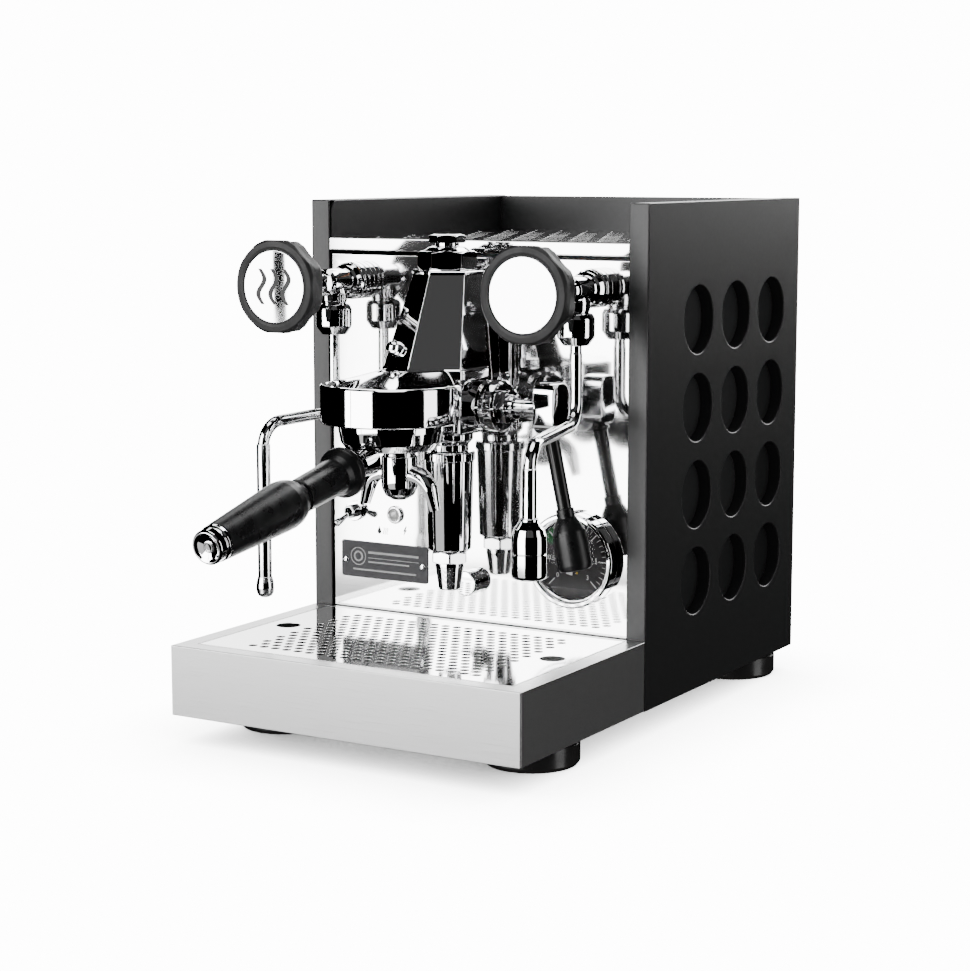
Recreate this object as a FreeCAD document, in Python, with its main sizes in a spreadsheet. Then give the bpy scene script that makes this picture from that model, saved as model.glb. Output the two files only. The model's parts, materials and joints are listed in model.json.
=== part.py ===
import FreeCAD, Part
import math
import os
import Sketcher
from FreeCAD import Placement, Rotation, Vector

# Espresso machine with a lever-operated brew group.
# X points to the operator's right, Y to the back, Z up. Lengths are in millimetres.
# Places are given from the middle of the casing (X), its front face (Y) and the table (Z);
# front_plane moves them to the row frame, whose origin is the middle of the footprint.

DIMENSIONS = [
    ("front_plane", 26.9, "front face of the casing, from the middle of the footprint"),
    ("casing_width", 270, "over both side panels"),
    ("casing_height", 361, "table to the top of the side panels"),
    ("casing_depth", 252.5, "front face to back face"),
    ("foot_height", 18.3, "table to the underside"),
    ("foot_radius", 32, "round foot"),
    ("sheet", 1.5, "sheet metal"),
    ("flange_width", 14.7, "front and back flanges of the side panels"),
    ("port_radius", 23.6, "round opening in a side panel"),
    ("port_depth", 9.5, "depth of the drawn collar of an opening"),
    ("port_pitch_y", 61.9, "spacing of the openings, front to back"),
    ("port_pitch_z", 61.1, "spacing of the openings, up"),
    ("port_first_y", 78.3, "first column of openings"),
    ("port_first_z", 96.5, "lowest row of openings"),
    ("splash_y", 2.5, "mirror plane of the backsplash"),
    ("splash_top", 322.5, "top of the backsplash"),
    ("strip_bottom", 325.6, "bottom of the top strip"),
    ("tray_level", 334, "top of the cup tray"),
    ("rail_inset", 13.5, "cup rail, inwards from the side of the casing"),
    ("drip_reach", 170.2, "drip tray in front of the casing"),
    ("drip_top", 66.8, "top of the drip tray"),
    ("drip_rim", 12.7, "rim beside the drip grate"),
    ("drip_hole_radius", 3.1, "perforation of the drip grate"),
    ("drip_pitch", 9.2, "spacing of the perforation"),
    ("finger_hole_radius", 8.5, "finger hole in the drip grate"),
    ("brew_y", -105, "brew axis"),
    ("bell_radius", 46.4, "ring of the brew head"),
    ("bell_top", 244.6, "top of the ring"),
    ("bell_bottom", 219.1, "bottom of the ring"),
    ("column_y", -32, "valve column axis"),
    ("cam_z", 225, "cam shaft axis"),
    ("ball_x", 96.4, "tap axes, either side of the middle"),
    ("ball_y", -29.3, "ball joint axis"),
    ("ball_z", 282, "centre of the ball"),
    ("tap_z", 304.5, "tap spindle axis"),
    ("knob_face", -101.3, "front face of a tap knob"),
    ("knob_radius", 32.4, "tap knob, over the corners of its rim"),
    ("disc_radius", 24.8, "polished disc of a tap knob"),
    ("tube_radius", 4, "wand tube"),
    ("steam_leg_x", -107.4, "lower leg of the steam wand"),
    ("steam_leg_y", -100, "lower leg of the steam wand"),
    ("water_leg_x", 118.3, "lower leg of the water wand"),
    ("water_leg_y", -130, "lower leg of the water wand"),
    ("handle_droop", 11.1, "handle below the horizontal, degrees"),
    ("handle_z", 203.5, "handle axis where it crosses the brew axis"),
    ("gauge_x", 79.6, "pressure gauge"),
    ("gauge_z", 118.6, "pressure gauge"),
    ("gauge_radius", 33, "bezel of the pressure gauge"),
    ("switch_x", -100.5, "power switch"),
    ("switch_z", 138, "power switch"),
    ("lamp_x", -66.5, "pilot lamp"),
    ("lamp_z", 137.6, "pilot lamp"),
    ("badge_x", -112.6, "left edge of the plate"),
    ("badge_z", 89.5, "bottom edge of the plate"),
    ("badge_width", 73.5, "plate"),
    ("badge_height", 26.5, "plate"),
    ("cap_x", -2.1, "service cap"),
    ("cap_z", 95.3, "service cap"),
    ("boiler_radius", 50, "boiler shell"),
    ("boiler_y", 100, "boiler axis"),
    ("boiler_z", 235, "boiler axis"),
    ("gap", 0.35, "clearance between separate bodies"),
    ("running", 0.05, "radial clearance of a turning fit"),
]


class Size:
    """A length with its value and the spreadsheet expression that gives it."""

    def __init__(self, value, text):
        self.value = value
        self.text = text

    @staticmethod
    def of(number):
        return number if isinstance(number, Size) else Size(number, f"({number:.10g})")

    def __add__(self, other):
        other = Size.of(other)
        return Size(self.value + other.value, f"({self.text} + {other.text})")

    def __sub__(self, other):
        other = Size.of(other)
        return Size(self.value - other.value, f"({self.text} - {other.text})")

    def __mul__(self, other):
        other = Size.of(other)
        return Size(self.value * other.value, f"({self.text} * {other.text})")

    def __truediv__(self, other):
        other = Size.of(other)
        return Size(self.value / other.value, f"({self.text} / {other.text})")

    def __radd__(self, other):
        return Size.of(other) + self

    def __rsub__(self, other):
        return Size.of(other) - self

    def __rmul__(self, other):
        return Size.of(other) * self

    def __neg__(self):
        return Size(-self.value, f"(-{self.text})")


class Names:
    """Dimensions by name."""


doc = FreeCAD.newDocument("EspressoMachine")
sheet = doc.addObject("Spreadsheet::Sheet", "Dims")
D = Names()
for row, (alias, number, meaning) in enumerate(DIMENSIONS, start=1):
    sheet.set(f"A{row}", meaning)
    sheet.set(f"B{row}", str(number))
    sheet.setAlias(f"B{row}", alias)
    setattr(D, alias, Size(number, f"Dims.{alias}"))
doc.recompute()

TURNS = {
    "z": Rotation(),
    "-z": Rotation(Vector(1, 0, 0), 180),
    "x": Rotation(Vector(0, 1, 0), 90),
    "-x": Rotation(Vector(0, 1, 0), -90),
    "y": Rotation(Vector(1, 0, 0), -90),
    "-y": Rotation(Vector(1, 0, 0), 90),
}
pieces = {}


# ---------------------------------------------------------------- document helpers

def bind(obj, path, size):
    size = Size.of(size)
    obj.setExpression(path, size.text)


def place(obj, at, turn="z"):
    """Put obj at a point given from the casing's front face, with its own Z along turn."""
    rotation = TURNS[turn] if isinstance(turn, str) else turn
    obj.Placement = Placement(Vector(), rotation)
    x, y, z = at
    bind(obj, "Placement.Base.x", x)
    bind(obj, "Placement.Base.y", Size.of(y) + D.front_plane)
    bind(obj, "Placement.Base.z", z)
    return obj


def add(kind, label):
    obj = doc.addObject(kind, label)
    obj.Label = label
    return obj


def piece(obj, node):
    """Name obj as a finished sub-part."""
    obj.Label = node
    pieces[node] = obj
    return obj


def box(label, low, high):
    obj = add("Part::Box", label)
    for side, a, b in zip(("Length", "Width", "Height"), low, high):
        bind(obj, side, Size.of(b) - a)
    return place(obj, low)


def cylinder(label, radius, height, at, turn="z"):
    obj = add("Part::Cylinder", label)
    bind(obj, "Radius", radius)
    bind(obj, "Height", height)
    return place(obj, at, turn)


def cone(label, first, second, height, at, turn="z"):
    obj = add("Part::Cone", label)
    bind(obj, "Radius1", first)
    bind(obj, "Radius2", second)
    bind(obj, "Height", height)
    return place(obj, at, turn)


def sphere(label, radius, at):
    obj = add("Part::Sphere", label)
    bind(obj, "Radius", radius)
    return place(obj, at)


def hexagon(label, across_flats, height, at, turn="z", spin=30):
    obj = add("Part::Prism", label)
    obj.Polygon = 6
    bind(obj, "Circumradius", Size.of(across_flats) / (2 * math.cos(math.radians(30))))
    bind(obj, "Height", height)
    rotation = TURNS[turn].multiply(Rotation(Vector(0, 0, 1), spin))
    return place(obj, at, rotation)


def fuse(label, *parts):
    obj = add("Part::MultiFuse", label)
    obj.Shapes = list(parts)
    obj.Refine = True
    return obj


def cut(label, base, *tools):
    obj = add("Part::Cut", label)
    obj.Base = base
    obj.Tool = tools[0] if len(tools) == 1 else fuse(label + "_tools", *tools)
    return obj


def common(label, base, tool):
    obj = add("Part::Common", label)
    obj.Base = base
    obj.Tool = tool
    return obj


def tube(label, outer, inner, height, at, turn="z"):
    return cut(label, cylinder(label + "_out", outer, height, at, turn),
               cylinder(label + "_in", inner, height, at, turn))


def outline(body, role, points):
    """A closed, fully constrained sketch through points on one of the body's origin planes."""
    plane = [f for f in body.Origin.OriginFeatures if f.Role == role][0]
    sketch = body.newObject("Sketcher::SketchObject", body.Name + "_outline")
    sketch.AttachmentSupport = (plane, [""])
    sketch.MapMode = "FlatFace"
    points = [(Size.of(u), Size.of(v)) for u, v in points]
    spots = [Vector(u.value, v.value, 0) for u, v in points]
    for start, end in zip(spots, spots[1:] + spots[:1]):
        sketch.addGeometry(Part.LineSegment(start, end), False)
    count = len(points)
    for i in range(count):
        sketch.addConstraint(Sketcher.Constraint("Coincident", i, 2, (i + 1) % count, 1))
    for i, point in enumerate(points):
        for kind, size, axis in zip(("DistanceX", "DistanceY"), point, (-2, -1)):
            if size.value == 0:
                sketch.addConstraint(Sketcher.Constraint("PointOnObject", i, 1, axis))
                continue
            index = sketch.addConstraint(Sketcher.Constraint(kind, -1, 1, i, 1, size.value))
            sketch.setExpression(f"Constraints[{index}]", size.text)
    return sketch


def turned(label, profile, at, turn="z"):
    """A lathe-turned piece: profile is a closed list of (radius, height) round its own Z."""
    body = add("PartDesign::Body", label)
    sketch = outline(body, "XZ_Plane", profile)
    revolve = body.newObject("PartDesign::Revolution", label + "_turn")
    revolve.Profile = sketch
    revolve.ReferenceAxis = (sketch, ["V_Axis"])
    revolve.Angle = 360
    return place(body, at, turn)


def plate(label, corners, thickness, at, turn="z"):
    """A flat piece: corners is its outline, thickness along its own Z."""
    body = add("PartDesign::Body", label)
    pad = body.newObject("PartDesign::Pad", label + "_pad")
    sketch = outline(body, "XY_Plane", corners)
    body.removeObject(sketch)
    body.insertObject(sketch, pad)
    pad.Profile = sketch
    bind(pad, "Length", thickness)
    return place(body, at, turn)


def computed(label, shape):
    """A piece that neither primitives nor sketches suit, from a shape in casing places."""
    obj = add("Part::Feature", label)
    obj.Shape = shape
    obj.Placement = Placement(Vector(0, D.front_plane.value, 0), Rotation()).multiply(shape.Placement)
    return obj


def dome(radius, rise, base, steps=5):
    """Points of a quarter-ellipse from (radius, base) to the axis at base + rise."""
    turns = [math.radians(90 * i / steps) for i in range(1, steps)]
    points = [(radius * math.cos(a), base + rise * math.sin(a)) for a in turns]
    return [(radius, base)] + points + [(0, base + rise)]


def bent_tube(points, bends, radius):
    """A round bar along straight runs joined by tangent arcs of the given radii."""
    spots = [Vector(*p) for p in points]
    edges = []
    start = spots[0]
    for before, corner, after, bend in zip(spots, spots[1:], spots[2:], bends):
        inward = (before - corner).normalize()
        outward = (after - corner).normalize()
        half = inward.getAngle(outward) / 2
        reach = bend / math.tan(half)
        first = corner + inward * reach
        last = corner + outward * reach
        middle_way = (inward + outward).normalize()
        middle = corner + middle_way * (bend / math.sin(half) - bend)
        edges.append(Part.LineSegment(start, first).toShape())
        edges.append(Part.Arc(first, middle, last).toShape())
        start = last
    edges.append(Part.LineSegment(start, spots[-1]).toShape())
    path = Part.Wire(edges)
    ring = Part.Wire(Part.Circle(spots[0], spots[1] - spots[0], radius).toShape())
    return path.makePipeShell([ring], True, False)


# ---------------------------------------------------------------- casing

def side_panel(node, side):
    """Folded side panel with twelve round openings, each with a drawn inward collar."""
    half = D.casing_width / 2
    collar = 1.5

    def span(near, far):
        """X limits from two distances out of the middle, on this side."""
        return (near, far) if side > 0 else (-far, -near)

    bottom = D.foot_height
    top = D.casing_height
    lip = 12
    flanges = []
    for name, near, y_low, y_high, z_low in (
            ("skin", half - D.sheet, 0, D.casing_depth, bottom),
            ("front_flange", half - D.flange_width, 0, D.sheet, bottom),
            ("back_flange", half - D.flange_width, D.casing_depth - D.sheet, D.casing_depth, bottom),
            ("top_lip", half - lip, 0, D.casing_depth, top - D.sheet)):
        x_low, x_high = span(near, half)
        flanges.append(box(f"{node}_{name}", (x_low, y_low, z_low), (x_high, y_high, top)))
    turn = "x" if side > 0 else "-x"
    start = side * (half - D.port_depth)
    collars = []
    holes = []
    for column in range(3):
        for row in range(4):
            spot = (start, D.port_first_y + column * D.port_pitch_y,
                    D.port_first_z + row * D.port_pitch_z)
            name = f"{node}_port_{column}_{row}"
            collars.append(cylinder(name + "_collar", D.port_radius + collar, D.port_depth, spot, turn))
            holes.append(cylinder(name + "_hole", D.port_radius, D.port_depth, spot, turn))
    body = fuse(node + "_blank", *flanges, *collars)
    return piece(cut(node, body, *holes), node)


def side_inserts():
    """Flat dark sheets behind the openings of the side panels."""
    thickness = 1.2
    near = D.casing_width / 2 - D.port_depth - thickness
    far = D.casing_width / 2 - D.port_depth
    low, high = (20, 60), (236, 318)
    right = box("insert_right", (near, low[0], low[1]), (far, high[0], high[1]))
    left = box("insert_left", (-far, low[0], low[1]), (-near, high[0], high[1]))
    group = add("Part::Compound", "side_inserts")
    group.Links = [left, right]
    piece(group, "side_inserts")


def base_frame():
    """Bottom sheet that carries the casing and runs forward under the drip tray."""
    half = D.casing_width / 2 - D.sheet
    z_low = D.foot_height
    z_high = D.foot_height + D.sheet
    floor = box("base_floor", (-half, D.sheet, z_low), (half, D.casing_depth - D.sheet, z_high))
    tongue = box("base_tongue", (-120, -152, z_low), (120, D.sheet, z_high))
    wall = 42
    front = box("base_front_wall", (-half + 13.2, 5.5, z_low), (half - 13.2, 7, z_low + wall))
    back = box("base_back_wall", (-half + 13.2, 244, z_low), (half - 13.2, 245.5, z_low + wall))
    notch = box("base_inlet_notch", (44, 243, 44), (76, 247, z_low + wall + 1))
    piece(cut("base_frame", fuse("base_blank", floor, tongue, front, back), notch), "base_frame")


def back_panel():
    """Back sheet with cooling slots and an opening for the mains inlet."""
    half = D.casing_width / 2 - D.flange_width
    y_low = D.casing_depth - D.sheet - 1.3
    y_high = D.casing_depth - D.sheet - 0.1
    sheet_body = box("back_sheet", (-half - 10, y_low, 20), (half + 10, y_high, 332))
    slots = []
    for row in range(7):
        for column in range(3):
            x = -70 + column * 52
            z = 230 + row * 11
            slots.append(box(f"back_slot_{row}_{column}", (x, y_low, z), (x + 36, y_high, z + 4)))
    inlet = box("back_inlet_hole", (46, y_low, 46), (74, y_high, 68))
    piece(cut("back_panel", sheet_body, inlet, *slots), "back_panel")


def cup_rail():
    """Three-sided rail round the cup tray, with its front top corners rounded."""
    half = D.casing_width / 2 - D.rail_inset
    back = 246
    low = D.tray_level - 11.2
    top = D.casing_height - 0.4
    radius = 9
    steps = 4
    arc = [math.radians(90 + 90 * i / steps) for i in range(steps + 1)]
    corner = [(radius * math.cos(a) + radius + 3, top - radius + radius * math.sin(a)) for a in arc]
    profile = [(3, low), (back, low), (back, top)] + corner
    turn = Rotation(Vector(1, 1, 1), 120)
    left = plate("rail_left", profile, D.sheet, (-half, 0, 0), turn)
    right = plate("rail_right", profile, D.sheet, (half - D.sheet, 0, 0), turn)
    rear = box("rail_back", (-half, back - D.sheet, low), (half, back, top))
    piece(fuse("cup_rail", left, right, rear), "cup_rail")


def cup_tray():
    """Lift-off tray that warms the cups, with rows of slots and turned-down edges."""
    half = D.casing_width / 2 - D.rail_inset - D.sheet - D.gap
    front = 4.6
    back = 244
    top = D.tray_level
    sheet_body = box("tray_sheet", (-half, front, top - 1.2), (half, back, top))
    skirt = [
        box("tray_skirt_left", (-half, front, top - 7), (-half + 1.2, back, top)),
        box("tray_skirt_right", (half - 1.2, front, top - 7), (half, back, top)),
        box("tray_skirt_back", (-half, back - 1.2, top - 7), (half, back, top)),
    ]
    slots = []
    for row in range(9):
        for column in range(9):
            x = -100 + column * 22.5 + (row % 2) * 11.25
            y = 30 + row * 24
            if x + 14 > half.value - 4:
                continue
            slots.append(box(f"tray_slot_{row}_{column}", (x, y, top - 1.2), (x + 14, y + 3.2, top)))
    piece(cut("cup_tray", fuse("tray_blank", sheet_body, *skirt), *slots), "cup_tray")


def front_strip():
    """Polished strip over the backsplash, folded back under the front of the cup tray."""
    half = D.casing_width / 2 - D.flange_width - 0.1
    face = box("strip_face", (-half, 0.6, D.strip_bottom), (half, 2.1, D.tray_level))
    shelf = box("strip_shelf", (-half + 0.5, 0.6, D.strip_bottom), (half - 0.5, 20, D.strip_bottom + 1))
    piece(fuse("front_strip", face, shelf), "front_strip")


def backsplash():
    """Polished front sheet with openings for the group, the taps and the instruments."""
    half = D.casing_width / 2 - D.flange_width - 0.1
    blank = box("splash_sheet", (-half, D.splash_y, 20.4), (half, D.splash_y + D.sheet, D.splash_top))
    y = D.splash_y
    spots = [
        ("gauge", D.gauge_x, D.gauge_z, D.gauge_radius - 4.2),
        ("switch", D.switch_x, D.switch_z, 3.6),
        ("lamp", D.lamp_x, D.lamp_z, 4),
        ("cap", D.cap_x, D.cap_z, 5),
        ("steam_tap", -D.ball_x, D.tap_z, 7),
        ("water_tap", D.ball_x, D.tap_z, 7),
        ("upper_pipe", 0, 285, 9),
        ("lower_pipe", 0, 215, 9),
    ]
    holes = [cylinder("splash_hole_" + name, radius, D.sheet, (x, y, z), "y")
             for name, x, z, radius in spots]
    piece(cut("backsplash", blank, *holes), "backsplash")


def feet():
    """Four round feet, slightly drawn in at the floor."""
    edge = 2
    profile = [(0, 0), (D.foot_radius - edge, 0), (D.foot_radius, edge),
               (D.foot_radius, D.foot_height), (0, D.foot_height)]
    spots = [(-98, -90), (98, -90), (-100.5, 219), (100.5, 219)]
    group = add("Part::Compound", "feet")
    group.Links = [turned(f"foot_{i}", profile, (x, y, 0)) for i, (x, y) in enumerate(spots)]
    piece(group, "feet")


def casing_screws():
    """Small round-headed screws: two on the plate and two rows down the back flanges."""
    head = 2.6
    rise = 1.4
    profile = [(0, 0)] + dome(head, rise, 0.4)
    spots = [((D.badge_x + 4, D.splash_y - 1, D.badge_z + D.badge_height / 2 - 1), "-y"),
             ((D.badge_x + D.badge_width - 4, D.splash_y - 1, D.badge_z + D.badge_height / 2 - 1), "-y")]
    group = add("Part::Compound", "casing_screws")
    group.Links = [turned(f"screw_{i}", profile, spot, turn) for i, (spot, turn) in enumerate(spots)]
    piece(group, "casing_screws")


# ---------------------------------------------------------------- drip tray

def drip_tray():
    """One folded tray: front panel, side skirts, top rim and the pan that catches the water."""
    half = D.casing_width / 2
    low = D.foot_height + 0.5
    back = -0.4
    wall = 1.4
    shell = box("drip_shell", (-half, -D.drip_reach, low), (half, back, D.drip_top))
    under = box("drip_under", (-half + wall, -D.drip_reach + wall, low), (half - wall, back, D.drip_top - wall))
    inner = half - D.drip_rim
    pan_front = -D.drip_reach + D.drip_rim
    pan_back = -4
    floor = 22
    pan = box("drip_pan", (-inner - wall, pan_front - wall, floor), (inner + wall, pan_back + wall, D.drip_top))
    hollow = box("drip_hollow", (-inner, pan_front, floor + wall), (inner, pan_back, D.drip_top))
    ledge = []
    for i, (x, y) in enumerate(((-inner, pan_front), (inner - 5, pan_front),
                                (-inner, pan_back - 5), (inner - 5, pan_back - 5))):
        ledge.append(box(f"drip_ledge_{i}", (x, y, D.drip_top - 7), (x + 5, y + 5, D.drip_top - 5 - D.gap)))
    skin = cut("drip_skin", shell, under)
    body = cut("drip_open", fuse("drip_blank", skin, pan), hollow)
    piece(fuse("drip_tray", body, *ledge), "drip_tray")


def drip_grate():
    """Perforated grate with staggered round holes, two finger holes and turned-down edges."""
    half = D.casing_width.value / 2 - D.drip_rim.value - D.gap.value - 0.35
    front = -D.drip_reach.value + D.drip_rim.value + D.gap.value + 0.35
    back = -4 - D.gap.value - 0.35
    top = D.drip_top.value
    thickness = 1.2

    def rectangle(x0, y0, x1, y1):
        corners = [Vector(x0, y0, 0), Vector(x1, y0, 0), Vector(x1, y1, 0), Vector(x0, y1, 0)]
        return Part.makePolygon(corners + corners[:1])

    def ring(x, y, radius):
        return Part.Wire(Part.Circle(Vector(x, y, 0), Vector(0, 0, 1), radius).toShape())

    fingers = [(-105.5, -76), (105.5, -76)]
    wires = [ring(x, y, D.finger_hole_radius.value) for x, y in fingers]
    pitch = D.drip_pitch.value
    row_step = pitch * math.sqrt(3) / 2
    rows = int(124 / row_step)
    columns = int(178 / pitch)
    for row in range(rows + 1):
        for column in range(columns + 1):
            x = -columns * pitch / 2 + column * pitch + (row % 2) * pitch / 2
            y = -142 + row * row_step
            if row % 2 and column == columns:
                continue
            wires.append(ring(x, y, D.drip_hole_radius.value))
    sheet_face = Part.Face([rectangle(-half, front, half, back)])
    holes = Part.makeCompound([Part.Face(w) for w in wires])
    deck = sheet_face.cut(holes).extrude(Vector(0, 0, thickness))
    deck.translate(Vector(0, 0, top - thickness))
    depth = 5
    edge = 1.2
    rim = Part.makeBox(2 * half, back - front, depth, Vector(-half, front, top - depth))
    inside = Part.makeBox(2 * half - 2 * edge, back - front - 2 * edge, depth,
                          Vector(-half + edge, front + edge, top - depth))
    whole = rim.cut(inside).fuse(deck).removeSplitter()
    piece(computed("drip_grate", whole.Solids[0]), "drip_grate")


# ---------------------------------------------------------------- brew group

def hexagon_wire(center_y, radius, z):
    """A level hexagon with a corner to the front and one to the back."""
    corners = [Vector(radius * math.sin(math.radians(60 * i)),
                      center_y - radius * math.cos(math.radians(60 * i)), z) for i in range(6)]
    return Part.makePolygon(corners + corners[:1])


def group_body():
    """Brew head casting: leaning hexagonal neck, shoulder, ring, cam housing and rear flange."""
    column_y = D.column_y.value
    brew_y = D.brew_y.value
    splash = D.splash_y.value
    bell_top = D.bell_top.value
    bell_bottom = D.bell_bottom.value
    neck_top, neck_bottom = 313.3, 251.7
    neck = Part.makeLoft([hexagon_wire(-50, 35, neck_bottom), hexagon_wire(-33.5, 23.4, neck_top)], True)
    collar = Part.Face(hexagon_wire(-33.5, 24.6, neck_top)).extrude(Vector(0, 0, 2))
    ledge = Part.Face(hexagon_wire(-50, 36.2, neck_bottom - 7.5)).extrude(Vector(0, 0, 7.5))
    head = Part.makeCylinder(D.bell_radius.value, bell_top - bell_bottom, Vector(0, brew_y, bell_bottom))
    base_ring = Part.Wire(Part.Circle(Vector(0, brew_y, bell_top - 0.5), Vector(0, 0, 1), 43).toShape())
    top_ring = Part.Wire(Part.Circle(Vector(0, -78, bell_top + 6), Vector(0, 0, 1), 24).toShape())
    shoulder = Part.makeLoft([base_ring, top_ring], True)
    trunk_low = Part.makePolygon([Vector(x, y, 206) for x, y in
                                  ((-24, splash), (24, splash), (24, -60), (-24, -60), (-24, splash))])
    trunk_high = Part.makePolygon([Vector(x, y, 312) for x, y in
                                   ((-20, splash), (20, splash), (20, -40), (-20, -40), (-20, splash))])
    trunk = Part.makeLoft([trunk_low, trunk_high], True)
    bridge = Part.makeBox(60, -60 - brew_y + 10, 22, Vector(-30, brew_y - 5, bell_top - 23))
    flange = Part.makeBox(64, 5, 106, Vector(-32, splash - 5, 204))
    cam_z = D.cam_z.value
    housing = Part.makeCylinder(17, 76, Vector(-32, column_y, cam_z), Vector(1, 0, 0))
    boss = Part.makeCylinder(13.2, 20, Vector(0, column_y, 192.4), Vector(0, 0, 1))
    pipes = [Part.makeCylinder(8, 16, Vector(0, splash - 1, z), Vector(0, 1, 0)) for z in (215, 285)]
    solid = neck
    for part in [collar, ledge, head, shoulder, trunk, bridge, flange, housing, boss] + pipes:
        solid = solid.fuse(part)
    brew_bore = Part.makeCylinder(35.6, 19, Vector(0, brew_y, bell_bottom - 1))
    lug_groove = Part.makeCylinder(39.4, 8, Vector(0, brew_y, 222))
    shower_bore = Part.makeCylinder(29, 8, Vector(0, brew_y, bell_bottom + 17))
    cam_bore = Part.makeCylinder(6.1 + D.running.value, 84, Vector(-26, column_y, cam_z), Vector(1, 0, 0))
    entries = [Part.makeBox(2 * 39.4, 22, 5, Vector(-39.4, brew_y - 11, bell_bottom - 1))]
    entries[0].rotate(Vector(0, brew_y, 0), Vector(0, 0, 1), -45)
    for tool in [brew_bore, lug_groove, shower_bore, cam_bore] + entries:
        solid = solid.cut(tool)
    piece(computed("group_body", solid.removeSplitter().Solids[0]), "group_body")


def group_nuts():
    """Large hexagon nut on the neck and the small hexagon nut on top of it."""
    y = D.column_y - 2
    low = 315.3
    nut = fuse("group_top_nut_blank",
               hexagon("group_top_hex", 35.3, 12, (0, y, low + 1), spin=30),
               cylinder("group_top_washer", 19, 1, (0, y, low)),
               cone("group_top_cone", 17, 12, 3, (0, y, low + 13)))
    piece(nut, "group_top_nut")
    jet = fuse("group_jet_nut_blank",
               cylinder("group_jet_neck", 8, 2.5, (0, y, low + 16)),
               hexagon("group_jet_hex", 22, 5, (0, y, low + 18.5), spin=30),
               cone("group_jet_top", 10.5, 9, 0.9, (0, y, low + 23.5)))
    piece(jet, "group_jet_nut")


def group_seals():
    """Rubber ring that the basket seals on, and the perforated shower screen inside it."""
    at = (0, D.brew_y, D.bell_bottom + 13.4)
    piece(tube("group_gasket", 35.4, 29.2, 4.6, at), "group_gasket")
    screen_rim = 28.6
    holes = [cylinder(f"screen_hole_{ring}_{i}", 1, 3,
                      (ring * 6.2 * math.cos(i * math.pi / (3 * ring)),
                       D.brew_y + ring * 6.2 * math.sin(i * math.pi / (3 * ring)), D.bell_bottom + 13))
             for ring in (1, 2, 3, 4) for i in range(6 * ring)]
    disc = turned("screen_disc", [(0, 0), (screen_rim - 1, 0), (screen_rim, 1), (screen_rim, 5), (0, 5)],
                  (0, D.brew_y, D.bell_bottom + 14.5))
    bottom = cylinder("screen_hollow", screen_rim - 1.6, 3.4, (0, D.brew_y, D.bell_bottom + 15.6))
    piece(cut("shower_screen", disc, bottom, *holes), "shower_screen")


def valve_column():
    """Lower chamber of the brew valve, and its hexagon outlet with a tapered end."""
    at = (0, D.column_y, 0)
    profile = [(0, 123.4), (14.8, 123.4), (16.7, 185.6), (17.7, 185.6), (17.7, 191.6), (16.9, 192.2), (0, 192.2)]
    piece(turned("valve_chamber", profile, at), "valve_chamber")
    bore = 3.5
    hexed = hexagon("drain_hex", 23.4, 8.6, (0, D.column_y, 114.8), spin=0)
    end = turned("drain_end", [(0, 95.8), (7.5, 95.8), (9.8, 112), (9.8, 115), (0, 115)], at)
    hole = cylinder("drain_bore", bore, 22, (0, D.column_y, 95))
    piece(cut("drain_outlet", fuse("drain_blank", hexed, end), hole), "drain_outlet")


def lever():
    """Cam shaft with its eccentric, the flat hub with the leaning stem, and the black grip."""
    y = D.column_y
    z = D.cam_z
    nut_start = 44.2
    nut = cut("cam_nut_blank",
              fuse("cam_nut_solid", hexagon("cam_nut_hex", 22, 5, (nut_start, y, z), "x", spin=0),
                   cylinder("cam_nut_barrel", 8.2, 4, (nut_start + 5, y, z), "x")),
              cylinder("cam_nut_bore", 6.1 + D.running, 12, (nut_start - 1, y, z), "x"))
    piece(nut, "cam_gland_nut")
    shaft_start = -24
    shaft = cylinder("shaft_bar", 6.1, 95, (shaft_start, y, z), "x")
    notch = box("shaft_cam_flat", (-10, y - 7, z + 3), (10, y + 7, z + 7))
    piece(cut("lever_shaft", shaft, notch), "lever_shaft")

    hub_low, hub_high = 71, 87
    stem_x = 78
    lean = 12.3
    turn = Rotation(Vector(0, 1, 0), 180 - lean)
    corner = 8.5
    rounds = [cylinder(f"hub_round_{i}", corner, hub_high - hub_low, (hub_low, y + side * (11 - corner), z + 9), "x")
              for i, side in enumerate((-1, 1))]
    flats = fuse("hub_flats", *rounds,
                 box("hub_cap", (hub_low, y - 11 + corner, z), (hub_high, y + 11 - corner, z + 9 + corner)),
                 box("hub_plate", (hub_low, y - 11, z - 16), (hub_high, y + 11, z + 9)))
    stem = cylinder("stem_bar", 5, 62, (stem_x, y, z - 11), turn)
    piece(fuse("lever_arm", flats, stem), "lever_arm")

    top = 56.4
    socket = 5
    profile = [(socket, top), (6.1, top), (6.2, top + 6), (8.9, top + 10.6), (11, top + 15.6),
               (11.8, top + 24), (11.9, top + 38), (10.4, top + 42), (0, top + 42), (0, top + 6),
               (socket, top + 6)]
    piece(turned("lever_grip", profile, (stem_x, y, z - 11), turn), "lever_grip")


# ---------------------------------------------------------------- portafilter

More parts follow.
